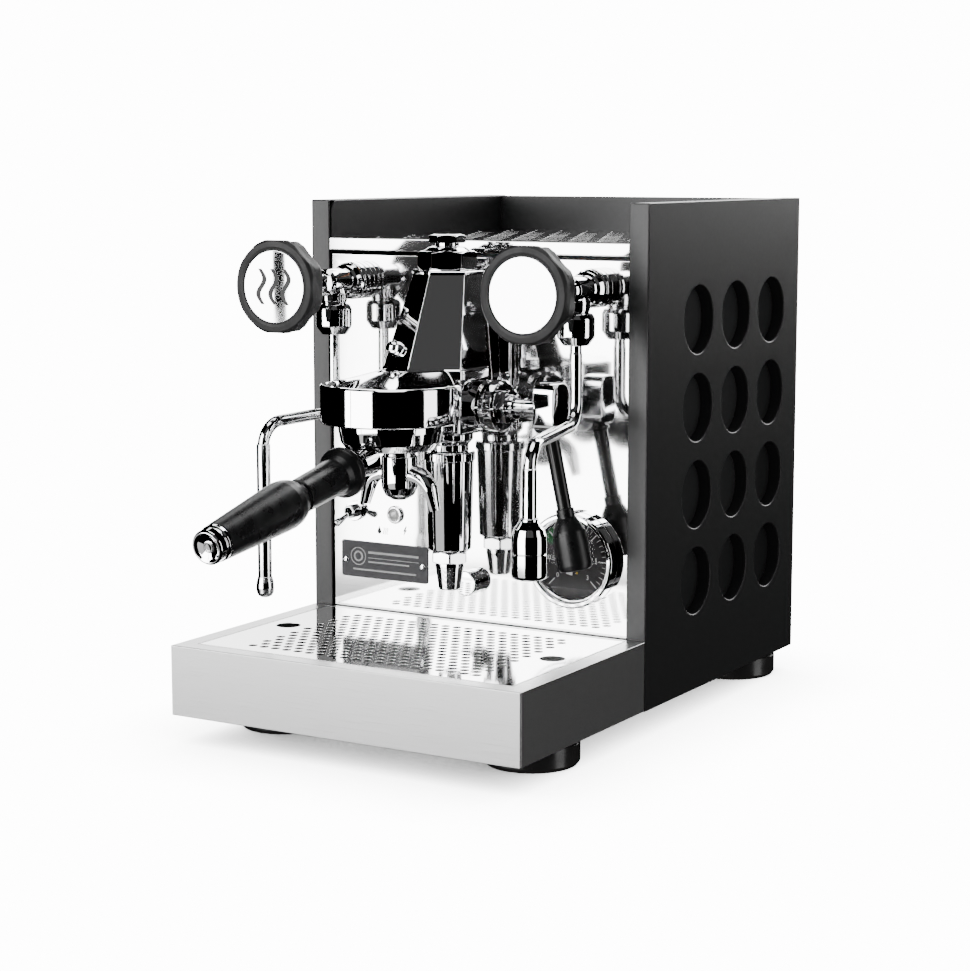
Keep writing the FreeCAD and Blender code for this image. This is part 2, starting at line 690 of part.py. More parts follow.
def portafilter():
    """Basin with its lugs and handle neck, the basket in it, and the twin spout under it."""
    y = D.brew_y
    rim = 231
    bottom = 201.5
    wall = 2.2
    cup = turned("basin_cup", [(0, bottom), (31, bottom), (33.4, bottom + 6), (34.9, D.bell_bottom), (34.9, rim),
                               (32.6, rim), (32.6, bottom + 8), (28, bottom + wall + 1), (0, bottom + wall)],
                 (0, y, 0))
    lugs = common("basin_lugs",
                  tube("basin_lug_ring", 39, 34, 5, (0, y, 223.5)),
                  box("basin_lug_cut", (-45, y - 9, 223), (45, y + 9, 229)))
    tilt = Rotation(Vector(1, 0, 0), 90 + D.handle_droop.value)
    neck = turned("basin_neck", [(0, 24), (9.5, 24), (9.5, 34), (7.6, 42), (7.6, 53), (0, 53)],
                  (0, y, D.handle_z), tilt)
    pocket = cylinder("basin_pocket", 32.6, 34, (0, y, bottom + 4))
    outlet = cylinder("basin_outlet", 5, 20, (0, y + 10, bottom - 8))
    solid = cut("basin_open", fuse("basin_blank", cut("basin_neck_trim", neck, pocket), cup, lugs), outlet)
    piece(solid, "portafilter_basin")

    cup_wall = 0.8
    basket = turned("filter_basket",
                    [(0, 207), (27, 207), (28.5, 209), (31.9, 229.2), (31.9, rim - 0.4 + 0.6), (34.6, rim + 0.2),
                     (34.6, rim + 1), (31.9 - cup_wall, rim + 1), (31.9 - cup_wall, 229.2),
                     (28.5 - cup_wall, 210), (27, 207 + cup_wall), (0, 207 + cup_wall)],
                    (0, y, 0))
    piece(basket, "filter_basket")
    spouts()
    handle()


def spouts():
    """Turned body under the basin that splits into two curved spouts."""
    y = D.brew_y.value + 10
    body = Part.makeCylinder(12.2, 23, Vector(0, y, 178.3)).fuse(
        Part.makeSphere(12.2, Vector(0, y, 178.3)))
    solid = body
    for side in (-1, 1):
        path = [(side * 3, y, 181), (side * 21, y, 184), (side * 26, y, 160)]
        arm = bent_tube(path, [9], 6.6)
        bore = bent_tube([(0, y, 180.5)] + path[1:2] + [(side * 26.2, y, 158)], [9], 4.4)
        solid = solid.fuse(arm).cut(bore)
    solid = solid.cut(Part.makeCylinder(5, 30, Vector(0, y, 180)))
    solid = solid.common(Part.makeBox(120, 120, 41.1, Vector(-60, y - 60, 160)))
    piece(computed("portafilter_spout", solid.removeSplitter().Solids[0]), "portafilter_spout")


def handle():
    """Black handle with a flared collar, a groove and a tapering grip, and its bright end cap."""
    tilt = Rotation(Vector(1, 0, 0), 90 + D.handle_droop.value)
    at = (0, D.brew_y, D.handle_z)
    bore = 7.6
    start, flare, groove, widest, end = 52, 59, 107, 126, 192
    profile = [(0, 56), (bore, 56), (bore, start), (11, start), (14.8, start + 1.6), (16.6, flare - 2.5),
               (16.5, flare + 1.5), (13.4, flare + 5.5), (12, flare + 9.5), (11.5, 78), (11, groove),
               (9.8, groove), (9.8, groove + 4), (10.6, groove + 4), (13, groove + 8), (15, groove + 13),
               (15.6, widest - 2), (15.4, widest + 5), (11.6, end), (0, end)]
    piece(turned("handle_grip", profile, at, tilt), "handle_grip")
    cap = [(0, end), (11.5, end), (11.5, end + 2.6), (10.4, end + 3.4), (10.4, end + 4), (11, end + 5),
           (10.8, end + 9.6), (9.8, end + 11.2), (0, end + 11.2)]
    piece(turned("handle_end_cap", cap, at, tilt), "handle_end_cap")


# ---------------------------------------------------------------- taps and wands

def tap(name, side):
    """One tap: body on the panel, spindle, black lobed knob with its polished disc."""
    x = side * D.ball_x
    y_panel = D.splash_y
    z = D.tap_z
    barrel = cylinder(name + "_barrel", 9.4, 38, (x, y_panel - 8, z), "-y")
    tail = cylinder(name + "_tail", 6.6, 26, (x, y_panel + 14, z), "-y")
    nose = cylinder(name + "_nose", 7.2, 8, (x, y_panel - 46, z), "-y")
    drop = turned(name + "_drop", [(0, 289.6), (8.4, 289.6), (9.4, 292), (8.6, 299), (0, 299)],
                  (x, D.ball_y, 0))
    socket = sphere(name + "_socket", 7.4, (x, D.ball_y, D.ball_z))
    bore = cylinder(name + "_spindle_bore", 4 + D.running, 30, (x, y_panel - 26, z), "-y")
    blank = fuse(name + "_valve_blank", barrel, tail, nose, drop)
    piece(cut(name + "_valve_body", blank, bore, socket), name + "_valve_body")

    piece(turned(name + "_spindle", [(0, 30), (4, 30), (4, 72), (5.4, 72), (5.4, 100), (0, 100)],
                 (x, y_panel, z), "-y"), name + "_spindle")

    depth = 21.5
    radius = D.knob_radius
    back_face = D.knob_face + depth
    profile = [(5.4, 0), (15, 0), (25, 2), (radius - 1.4, 6.5), (radius, 9), (radius, depth - 3),
               (radius - 2, depth), (D.disc_radius + 0.1, depth), (D.disc_radius + 0.1, depth - 2.4),
               (5.4, depth - 2.4)]
    blank = turned(name + "_knob_blank", profile, (x, back_face, z), "-y")
    prism = add("Part::Prism", name + "_knob_flats")
    prism.Polygon = 8
    bind(prism, "Circumradius", radius + 1.37)
    bind(prism, "Height", depth)
    place(prism, (x, back_face, z), TURNS["-y"].multiply(Rotation(Vector(0, 0, 1), 22.5)))
    rim = common(name + "_knob_rim", blank, prism)
    scallops = []
    for i in range(8):
        turn = math.radians(45 * i)
        reach = 38.5
        spot = (x + reach * math.sin(turn), back_face, z + reach * math.cos(turn))
        scallops.append(cylinder(f"{name}_knob_scallop_{i}", 10, depth - 6, spot, "-y"))
    piece(cut(name + "_knob", rim, *scallops), name + "_knob")
    disc = [(0, 0), (D.disc_radius, 0), (D.disc_radius, 1.6), (D.disc_radius - 0.6, 2.2), (0, 2.2)]
    piece(turned(name + "_knob_disc", disc, (x, back_face - depth + 2.4, z), "-y"), name + "_knob_disc")


def panel_nuts():
    """Round dress nuts where the taps come through the backsplash."""
    profile = [(9.6, 0), (13.2, 0), (13.2, 5), (12.4, 5.8), (13.2, 6.6), (13.2, 11), (12.4, 11.8),
               (13, 12.6), (12.6, 17), (11, 19.6), (9.6, 20.4)]
    group = add("Part::Compound", "union_nuts")
    group.Links = [turned(f"union_nut_{i}", profile, (side * D.ball_x, D.splash_y, D.tap_z), "-y")
                   for i, side in enumerate((-1, 1))]
    piece(group, "union_nuts")


def ball_nuts():
    """Hexagon nuts that hold the balls of the two wands."""
    group = add("Part::Compound", "ball_joint_nuts")
    links = []
    for i, side in enumerate((-1, 1)):
        at = (side * D.ball_x, D.ball_y, 268)
        stock = hexagon(f"ball_nut_hex_{i}", 22.4, 21.6, at, spin=30)
        shape = turned(f"ball_nut_turned_{i}", [(0, 0), (9.8, 0), (12.6, 5.4), (12.6, 18.4), (10.4, 21.6), (0, 21.6)], at)
        bore = turned(f"ball_nut_bore_{i}", [(0, -1), (9.6, -1), (8.1, 6.5), (8.1, 7), (8.8, 9.6), (8.8, 22), (0, 22)], at)
        links.append(cut(f"ball_nut_{i}", common(f"ball_nut_blank_{i}", stock, shape), bore))
    group.Links = links
    piece(group, "ball_joint_nuts")


def wand_seat(name, side):
    """Seat ring of a ball joint, between the ball and its nut."""
    at = (side * D.ball_x, D.ball_y, D.ball_z)
    ring = turned(name + "_seat_ring", [(5.9, -5.6), (8.4, -4.4), (8.4, 5), (7.4, 5), (7.4, 0), (6.4, -4)], at)
    hollow = sphere(name + "_seat_hollow", 6.9, at)
    piece(cut(name + "_wand_seat", ring, hollow), name + "_wand_seat")


def wand(node, side, leg, knee_z, leg_z, end_z, bends, radius, sleeve):
    """Bent tube with the ball on its upper end, a narrow neck under the ball and a sleeve on its leg."""
    x = side * D.ball_x.value
    y = D.ball_y.value
    ball_z = D.ball_z.value
    neck_end = 262
    path = [(x, y, neck_end), (x, y, knee_z), (leg[0].value, leg[1].value, leg_z),
            (leg[0].value, leg[1].value, end_z)]
    solid = bent_tube(path, bends, radius)
    neck = Part.makeCylinder(3.9, ball_z - neck_end + 0.5, Vector(x, y, neck_end - 0.5))
    ball = Part.makeSphere(6.5, Vector(x, y, ball_z))
    cover = Part.makeCylinder(sleeve, leg_z - 14 - end_z, Vector(leg[0].value, leg[1].value, end_z))
    solid = solid.fuse(neck).fuse(ball).fuse(cover).removeSplitter()
    piece(computed(node, solid.Solids[0]), node)


def steam_wand():
    leg = (D.steam_leg_x, D.steam_leg_y)
    radius = D.tube_radius.value
    wand("steam_wand", -1, leg, 213.7, 211.2, 105.3, [13, 17], radius, radius + 0.75)
    tip = [(0, 90.8), (2.4, 90.8), (4.5, 91.8), (5.8, 94), (6.2, 97), (5.95, 101), (5.2, 104.3),
           (5, 105.3), (0, 105.3)]
    piece(turned("steam_tip", tip, (leg[0], leg[1], 0)), "steam_tip")


def water_wand():
    leg = (D.water_leg_x, D.water_leg_y)
    radius = D.tube_radius.value + 0.3
    wand("water_wand", 1, leg, 216.2, 213.4, 168, [16, 18], radius, radius + 0.4)
    nozzle = [(0, 129.5), (9.4, 129.5), (10.9, 131), (11.2, 133), (11.2, 145.6), (10.9, 146.1), (11.2, 146.6),
              (11.2, 154.1), (10.9, 157.5), (9.6, 161.5), (7.2, 164.5), (5.8, 166.5), (5.8, 168), (0, 168)]
    blank = turned("nozzle_blank", nozzle, (leg[0], leg[1], 0))
    mouth = cylinder("nozzle_mouth", 7.6, 5, (leg[0], leg[1], 129))
    piece(cut("water_nozzle", blank, mouth), "water_nozzle")


# ---------------------------------------------------------------- instruments

def power_switch():
    """Toggle switch: threaded bushing with its nut, and the bat lever."""
    at = (D.switch_x, D.splash_y, D.switch_z)
    nut = hexagon("switch_nut", 13.4, 3.4, (D.switch_x, D.splash_y, D.switch_z), "-y", spin=0)
    sleeve = turned("switch_sleeve", [(3.3, -12), (3.6, -12), (3.6, 0), (4.7, 0), (4.7, 9.4), (3.9, 9.9), (3.3, 9.9)],
                    at, "-y")
    body = box("switch_case", (D.switch_x - 7, D.splash_y + 12, D.switch_z - 9),
               (D.switch_x + 7, D.splash_y + 27, D.switch_z + 9))
    hollow = cylinder("switch_hollow", 3.3, 22, (D.switch_x, D.splash_y + 12, D.switch_z), "-y")
    piece(cut("switch_bushing", fuse("switch_blank", nut, sleeve, body), hollow), "switch_bushing")
    tilt = Rotation(Vector(1, 0, 0), 90 + 19)
    bat = turned("switch_bat", [(0, -3), (1.2, -3), (1.2, 2), (1.5, 3), (1.7, 8), (2.6, 17), (2.2, 19.4), (0, 20.2)],
                 (D.switch_x, D.splash_y - 7, D.switch_z), tilt)
    piece(bat, "switch_lever")


def pilot_lamp():
    at = (D.lamp_x, D.splash_y, D.lamp_z)
    bezel = [(4.3, 0), (6.5, 0), (6.5, 1.6), (5.6, 2.8), (4.3, 2.8)]
    piece(turned("pilot_bezel", bezel, at, "-y"), "pilot_bezel")
    lens = [(0, -10), (3.9, -10), (3.9, 0), (4.2, 0)] + dome(4.2, 2.2, 1.4)
    piece(turned("pilot_lens", lens, at, "-y"), "pilot_lens")


def badge():
    low = (D.badge_x, D.splash_y - 1, D.badge_z)
    high = (D.badge_x + D.badge_width, D.splash_y, D.badge_z + D.badge_height)
    piece(box("badge_plate", low, high), "badge_plate")


def gauge():
    """Pressure gauge: case with bezel, dial, needle on its pin, and the glass."""
    at = (D.gauge_x, D.splash_y, D.gauge_z)
    radius = D.gauge_radius
    inner = radius - 4
    bezel = [(inner - 1.2, -18), (0, -18), (0, -20), (inner - 0.4, -20), (inner - 0.4, 0), (radius, 0),
             (radius, 9.4), (radius - 0.7, 10.4), (inner + 0.3, 10.4), (inner, 10), (inner, 6.3),
             (inner - 1.2, 6.3)]
    stub = cylinder("gauge_stub", 5, 14, (D.gauge_x, D.splash_y + 19, D.gauge_z), "y")
    piece(fuse("gauge_case", turned("gauge_can", bezel, at, "-y"), stub), "gauge_case")
    dial_face = inner - 1.3
    piece(turned("gauge_dial", [(0.9, 2.4), (dial_face, 2.4), (dial_face, 3.4), (0.9, 3.4)], at, "-y"), "gauge_dial")
    hub = Part.makeCylinder(3.2, 0.9, Vector(0, 0, 3.9))
    pin = Part.makeCylinder(0.8, 5, Vector(0, 0, -0.4))
    blade = Part.makePolygon([Vector(x, y, 3.9) for x, y in
                              ((-1.1, 0), (-0.3, 21), (0.3, 21), (1.1, 0), (2.5, -10.6), (-2.5, -10.6),
                               (-1.1, 0))])
    needle = hub.fuse(pin).fuse(Part.Face(blade).extrude(Vector(0, 0, 0.8))).removeSplitter()
    rest_angle = -12
    needle.rotate(Vector(), Vector(0, 0, 1), rest_angle)
    needle.rotate(Vector(), Vector(1, 0, 0), 90)
    needle.translate(Vector(D.gauge_x.value, D.splash_y.value, D.gauge_z.value))
    piece(computed("gauge_needle", needle), "gauge_needle")
    glass = [(0, 6.4), (inner - 0.1, 6.4), (inner - 0.1, 7.4), (0, 7.4)]
    piece(turned("gauge_glass", glass, at, "-y"), "gauge_glass")


def service_cap():
    profile = [(0, -8), (4.8, -8), (4.8, 0), (8.6, 0), (8.6, 3.6), (8, 4.1), (8.6, 4.6), (8.6, 7.4), (8, 7.9),
               (8.9, 8.5), (8.9, 10.5), (8.3, 11.1), (0, 11.1)]
    piece(turned("service_cap", profile, (D.cap_x, D.splash_y, D.cap_z), "-y"), "service_cap")


# ---------------------------------------------------------------- inside the casing

def boiler():
    """Horizontal boiler with flanged end, its element, and the two legs to the brew group."""
    radius = D.boiler_radius
    half = 88
    wall = 2
    profile = [(0, -half), (radius, -half), (radius, half - 8), (radius + 6, half - 8), (radius + 6, half), (0, half)]
    shell = turned("boiler_shell", profile, (0, D.boiler_y, D.boiler_z), "x")
    hollow = cylinder("boiler_hollow", radius - wall, 2 * half - 2 * wall - 6,
                      (-half + wall, D.boiler_y, D.boiler_z), "x")
    legs = []
    for name, leg_z in (("upper", 285), ("lower", 215)):
        joint = D.splash_y + 15.2
        legs.append(cylinder(f"boiler_leg_{name}", 7, D.boiler_y - joint, (0, joint, leg_z), "y"))
    stems = cut("boiler_outside", fuse("boiler_blank", shell, *legs), hollow)
    piece(stems, "boiler")
    start = 78
    bar = 4
    rods = [cylinder(f"element_rod_{i}", bar, 130, (start, D.boiler_y + dy, D.boiler_z - 22), "-x")
            for i, dy in enumerate((-14, 14))]
    bend = cylinder("element_bend", bar + 1, 38, (start - 126, D.boiler_y - 19, D.boiler_z - 22), "y")
    flange = cylinder("element_flange", 30, 3.5, (start - 1.5, D.boiler_y, D.boiler_z - 14), "x")
    piece(fuse("heating_element", *rods, bend, flange), "heating_element")


def water_tank():
    """Open-topped tank across the back of the casing."""
    wall = 2.5
    low, high = (-104, 158, 62), (104, 222, 316)
    outside = box("tank_outside", low, high)
    inside = box("tank_inside", (low[0] + wall, low[1] + wall, low[2] + wall), (high[0] - wall, high[1] - wall, high[2]))
    shelf = box("tank_shelf", (-92, 161, 19.8), (92, 218, 62))
    clear = box("tank_shelf_hollow", (-90, 160, 21), (90, 219, 60))
    piece(fuse("water_tank", cut("tank_cup", outside, inside), cut("tank_stand", shelf, clear)), "water_tank")


def pump():
    """Vibration pump lying on the floor sheet: coil block with its brass ends."""
    z = 46
    start = 60
    block = box("pump_coil", (-86, start + 20, z - 24), (-42, start + 66, z + 24))
    barrel = cylinder("pump_barrel", 11, 92, (-64, start, z), "y")
    foot = box("pump_foot", (-82, start + 26, 19.8), (-46, start + 60, z - 24))
    piece(fuse("pump", block, barrel, foot), "pump")


def mains_inlet():
    """Three-pin inlet in the back panel."""
    x, z = 60, 57
    outer = D.casing_depth - 0.1
    body = box("inlet_body", (x - 13.5, outer - 26, z - 10.5), (x + 13.5, outer, z + 10.5))
    flange = box("inlet_flange", (x - 18, outer - 1.4, z - 14), (x + 18, outer, z + 14))
    recess = box("inlet_recess", (x - 11.8, outer - 20, z - 8), (x + 11.8, outer, z + 8))
    pins = [box(f"inlet_pin_{i}", (x + dx - 1, outer - 22, z + dz - 2), (x + dx + 1, outer - 7, z + dz + 2))
            for i, (dx, dz) in enumerate(((-7, -2), (7, -2), (0, 2)))]
    piece(fuse("mains_inlet", cut("inlet_shell", fuse("inlet_blank", body, flange), recess), *pins), "mains_inlet")


# ---------------------------------------------------------------- build, check and write

side_panel("side_panel_left", -1)
side_panel("side_panel_right", 1)
for build in (side_inserts, base_frame, back_panel, cup_rail, cup_tray, front_strip, backsplash,
              feet, casing_screws, drip_tray, drip_grate, group_body, group_nuts, group_seals,
              valve_column, lever, portafilter, panel_nuts, ball_nuts, steam_wand, water_wand,
              power_switch, pilot_lamp, badge, gauge, service_cap, boiler, water_tank, pump, mains_inlet):
    build()
for tap_name, tap_side in (("steam", -1), ("water", 1)):
    tap(tap_name, tap_side)
    wand_seat(tap_name, tap_side)
doc.recompute()

faults = []
for obj in doc.Objects:
    if "Invalid" in obj.State or "Error" in obj.State:
        faults.append(f"{obj.Label}: {obj.State}")
for node, obj in pieces.items():
    shape = obj.Shape
    if shape.isNull() or not shape.isValid() or not shape.Solids:
        faults.append(f"{node}: no valid solid")
if faults:
    raise RuntimeError("; ".join(faults))

os.makedirs("parts", exist_ok=True)
whole = Part.makeCompound([obj.Shape for obj in pieces.values()]).BoundBox
print("nodes", len(pieces))
print("box", [round(v, 2) for v in (whole.XMin, whole.YMin, whole.ZMin, whole.XMax, whole.YMax, whole.ZMax)])
for node, obj in pieces.items():
    print(node, len(obj.Shape.Solids), round(obj.Shape.Volume, 1))
    obj.Shape.exportStep(f"parts/{node}.step")
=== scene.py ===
import json
import math

import bmesh
import bpy
from mathutils import Euler, Matrix, Vector


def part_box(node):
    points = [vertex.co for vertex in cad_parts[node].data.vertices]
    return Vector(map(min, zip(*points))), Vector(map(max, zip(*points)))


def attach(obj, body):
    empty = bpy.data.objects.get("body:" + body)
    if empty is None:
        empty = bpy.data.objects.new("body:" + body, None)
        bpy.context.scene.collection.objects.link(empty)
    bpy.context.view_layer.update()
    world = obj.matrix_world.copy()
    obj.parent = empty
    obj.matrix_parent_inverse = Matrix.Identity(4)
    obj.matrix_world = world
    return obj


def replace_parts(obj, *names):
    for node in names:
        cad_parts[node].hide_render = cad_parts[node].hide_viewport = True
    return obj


# Looks of the espresso machine. Shapes are given in millimetres in a piece's own axes and
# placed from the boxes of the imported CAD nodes, which are in metres.

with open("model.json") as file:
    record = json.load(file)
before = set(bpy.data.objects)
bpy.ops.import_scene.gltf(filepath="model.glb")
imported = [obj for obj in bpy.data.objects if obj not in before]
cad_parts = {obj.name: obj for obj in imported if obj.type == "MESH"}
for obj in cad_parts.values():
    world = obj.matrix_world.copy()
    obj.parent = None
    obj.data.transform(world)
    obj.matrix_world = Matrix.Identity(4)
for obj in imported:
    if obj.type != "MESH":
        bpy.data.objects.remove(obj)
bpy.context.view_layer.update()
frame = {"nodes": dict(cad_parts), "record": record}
MM = 0.001
ALONG = {
    "z": Euler((0, 0, 0)),
    "-y": Euler((math.pi / 2, 0, 0)),
    "x": Euler((0, math.pi / 2, 0)),
    "-x": Euler((0, -math.pi / 2, 0)),
}
FACING_X = Matrix(((0, 0, 1), (1, 0, 0), (0, 1, 0)))  # an outline in Y and Z, its thickness along X
BODY_OF = {node: body for body, nodes in frame["record"]["behaviour"]["bodies"].items()
           for node in nodes}
BOX = {node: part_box(node) for node in frame["nodes"]}
FLAT_FACE_WEIGHT = 60   # lets large flat faces decide the shading at their rounded edges


# ---------- places

def low(node):
    return BOX[node][0] / MM


def high(node):
    return BOX[node][1] / MM


def centre(node):
    return (low(node) + high(node)) / 2


def span(node):
    return low(node), high(node)


def at(point, along="z", spin=0.0):
    """Matrix from a piece's own millimetres to the row frame's metres."""
    turn = ALONG[along].to_matrix() if isinstance(along, str) else along
    placed = turn.to_4x4() @ Matrix.Rotation(math.radians(spin), 4, "Z")
    return Matrix.Translation(Vector(point) * MM) @ placed @ Matrix.Scale(MM, 4)


def start_of(node, along):
    """Where a turned node begins on its own axis, taken from its box."""
    point = centre(node)
    index = "xyz".index(along[-1])
    point[index] = high(node)[index] if along.startswith("-") else low(node)[index]
    return point


# ---------- outlines

def soften(points, radius, steps=4, closed=False):
    """An outline whose corners are rounded. A point may carry its own radius as a third number."""
    straight = math.radians(86)     # half the angle past which a corner counts as a straight run
    spots = [Vector((p[0], p[1])) for p in points]
    radii = [p[2] if len(p) > 2 else radius for p in points]
    result = []
    count = len(spots)
    for i, spot in enumerate(spots):
        back = spots[i - 1] - spot
        ahead = spots[(i + 1) % count] - spot
        if (not closed and i in (0, count - 1) or radii[i] == 0 or min(back.length, ahead.length) < 1e-6
                or back.angle(ahead) / 2 > straight):
            result.append(spot)
            continue
        cut = min(radii[i] / math.tan(back.angle(ahead) / 2), back.length * 0.48, ahead.length * 0.48)
        first = spot + back.normalized() * cut
        last = spot + ahead.normalized() * cut
        for step in range(steps + 1):
            t = step / steps
            result.append(first * (1 - t) ** 2 + spot * (2 * t * (1 - t)) + last * t ** 2)
    return [(p.x, p.y) for p in result]


def rectangle(x0, y0, x1, y1, radius=0.0):
    corners = [(x0, y0), (x1, y0), (x1, y1), (x0, y1)]
    return soften(corners, radius, closed=True) if radius else corners


def ring(x, y, radius, count=32):
    turns = [2 * math.pi * i / count for i in range(count)]
    return [(x + radius * math.cos(a), y + radius * math.sin(a)) for a in turns]


def slot(x0, y0, x1, y1):
    """A long hole with round ends, along X."""
    radius = (y1 - y0) / 2
    middle = (y0 + y1) / 2
    right = [math.radians(-90 + 30 * i) for i in range(7)]
    left = [math.radians(90 + 30 * i) for i in range(7)]
    return ([(x1 - radius + radius * math.cos(a), middle + radius * math.sin(a)) for a in right]
            + [(x0 + radius + radius * math.cos(a), middle + radius * math.sin(a)) for a in left])


# ---------- shapes: (vertices, faces)

def placed(shape, matrix):
    verts, faces = shape
    return [matrix @ Vector(v) for v in verts], faces


def lathe(profile, segments=96, limit=None, closed=False):
    """Turns (radius, height) points round Z. limit(angle) caps the radius, for flats and lobes."""
    verts, faces, rows = [], [], []
    for radius, height in profile:
        if radius < 1e-6:
            rows.append([len(verts)] * segments)
            verts.append((0, 0, height))
            continue
        rows.append(list(range(len(verts), len(verts) + segments)))
        for i in range(segments):
            angle = 2 * math.pi * i / segments
            r = min(radius, limit(angle)) if limit else radius
            verts.append((r * math.cos(angle), r * math.sin(angle), height))
    pairs = list(zip(rows, rows[1:])) + ([(rows[-1], rows[0])] if closed else [])
    for lower, upper in pairs:
        for i in range(segments):
            k = (i + 1) % segments
            corners = [lower[i], lower[k], upper[k], upper[i]]
            face = [c for n, c in enumerate(corners) if c not in corners[:n]]
            if len(face) > 2:
                faces.append(face)
    return verts, faces


def flats(count, apothem, corner=None):
    """Radius limit of a regular prism with slightly blunt corners."""
    pitch = 2 * math.pi / count

    def limit(angle):
        off = (angle + pitch / 2) % pitch - pitch / 2
        radius = apothem / math.cos(off)
        return min(radius, corner) if corner else radius

    return limit


def dense(profile, step=0.5):
    """The profile with long runs divided, so that a radius limit cuts it cleanly."""
    result = [profile[0]]
    for (r0, z0), (r1, z1) in zip(profile, profile[1:]):
        count = max(1, int(abs(r1 - r0) / step)) if abs(r1 - r0) > 1e-6 else 1
        result += [(r0 + (r1 - r0) * i / count, z0 + (z1 - z0) * i / count) for i in range(1, count + 1)]
    return result


def spun(profile, place, edge=0.3, segments=96, steps=4):
    """A turned shape with rounded corners, put in its place."""
    return placed(lathe(soften(profile, edge, steps), segments), place)


def hexed(profile, half, corner, place, edge=0.3, step=0.3):
    """A turned shape cut to a hexagon: half its width over the flats, and its corner radius."""
    outline = dense(soften(profile, edge, 3), step)
    return placed(lathe(outline, 144, flats(6, half, corner)), place)


def slab(outline, holes, thickness, edge=0.3):
    """A flat plate from an outline with holes, with rounded edges, from Z 0 to thickness."""
    curve = bpy.data.curves.new("slab", "CURVE")
    curve.dimensions = "2D"
    curve.fill_mode = "BOTH"
    curve.extrude = max(thickness / 2 - edge, 0.001)
    curve.bevel_depth = edge
    curve.bevel_resolution = 2
    curve.offset = -edge
    for loop in [outline] + list(holes):
        spline = curve.splines.new("POLY")
        spline.points.add(len(loop) - 1)
        for point, (x, y) in zip(spline.points, loop):
            point.co = (x, y, 0, 1)
        spline.use_cyclic_u = True
    return from_curve(curve, thickness / 2)


def from_curve(curve, lift=0.0):
    holder = bpy.data.objects.new("holder", curve)
    bpy.context.scene.collection.objects.link(holder)
    bpy.context.view_layer.update()
    evaluated = holder.evaluated_get(bpy.context.evaluated_depsgraph_get())
    mesh = bpy.data.meshes.new_from_object(evaluated)
    verts = [(v.co.x, v.co.y, v.co.z + lift) for v in mesh.vertices]
    faces = [list(p.vertices) for p in mesh.polygons]
    bpy.data.objects.remove(holder)
    bpy.data.curves.remove(curve)
    bpy.data.meshes.remove(mesh)
    return verts, faces


def block(a, b, edge=0.4, segments=2):
    """A box between two corners of the row frame, with rounded edges, already in metres."""
    bm = bmesh.new()
    bmesh.ops.create_cube(bm, size=1)
    size = [max(q - p, 0.01) for p, q in zip(a, b)]
    middle = [(p + q) / 2 for p, q in zip(a, b)]
    for v in bm.verts:
        v.co = Vector([m + s * c for m, s, c in zip(middle, size, v.co)])
    width = min(edge, min(size) * 0.45)
    bmesh.ops.bevel(bm, geom=bm.edges[:], offset=width, segments=segments, profile=0.5, affect="EDGES")
    bm.verts.index_update()
    shape = [tuple(v.co) for v in bm.verts], [[v.index for v in f.verts] for f in bm.faces]
    bm.free()
    return placed(shape, at((0, 0, 0)))


def walls(lo, hi, sheet, sides, edge):
    """Upright walls of sheet just inside a box, on the named sides."""
    spans = {"left": (lo.x, lo.y, lo.x + sheet, hi.y), "right": (hi.x - sheet, lo.y, hi.x, hi.y),
             "front": (lo.x, lo.y, hi.x, lo.y + sheet), "back": (lo.x, hi.y - sheet, hi.x, hi.y)}
    return [block((x0, y0, lo.z), (x1, y1, hi.z), edge, 3)
            for x0, y0, x1, y1 in (spans[side] for side in sides)]


def loft(rings):
    """Closed skin through rings of equally many points."""
    count = len(rings[0])
    verts = [tuple(p) for loop in rings for p in loop]
    faces = []
    for row in range(len(rings) - 1):
        for i in range(count):
            k = (i + 1) % count
            faces.append([row * count + i, row * count + k, (row + 1) * count + k, (row + 1) * count + i])
    faces.append(list(range(count))[::-1])
    faces.append([(len(rings) - 1) * count + i for i in range(count)])
    return verts, faces


def level(outline, z):
    return [Vector((x, y, z)) for x, y in outline]


def bent_path(points, bends, step):
    """Points along straight runs joined by arcs of the given radii, a point every step degrees."""
    spots = [Vector(p) for p in points]
    path = [spots[0]]
    for before, corner, after, bend in zip(spots, spots[1:], spots[2:], bends):
        inward = (before - corner).normalized()
        outward = (after - corner).normalized()
        half = inward.angle(outward) / 2
        reach = bend / math.tan(half)
        hub = corner + (inward + outward).normalized() * (bend / math.sin(half))
        first = corner + inward * reach
        last = corner + outward * reach
        sweep = math.pi - 2 * half
        count = max(6, int(math.degrees(sweep) / step))
        for i in range(count + 1):
            t = i / count
            a = math.sin((1 - t) * sweep) / math.sin(sweep)
            b = math.sin(t * sweep) / math.sin(sweep)
            path.append(hub + (first - hub) * a + (last - hub) * b)
    path.append(spots[-1])
    return path


def sweep(path, section):
    """Carries a section (own X, Y points, or a function of the share of the way) along a path."""
    rings = []
    total = sum((b - a).length for a, b in zip(path, path[1:]))
    done = 0.0
    side = Vector((0, 1, 0))
    for i, point in enumerate(path):
        ahead = path[min(i + 1, len(path) - 1)] - path[max(i - 1, 0)]
        ahead.normalize()
        if i:
            done += (point - path[i - 1]).length
        side = (side - ahead * side.dot(ahead)).normalized()
        across = ahead.cross(side)
        shape = section(done / total) if callable(section) else section
        rings.append([point + across * x + side * y for x, y in shape])
    return placed(loft(rings), at((0, 0, 0)))


def ribbon(points):
    """A printed line 0.1 mm thick through (x, y, half width) points."""
    return loft([[Vector((x + w, y, z)) for w, z in ((-half, 0), (half, 0), (half, 0.1), (-half, 0.1))]
                 for x, y, half in points])


# ---------- pieces

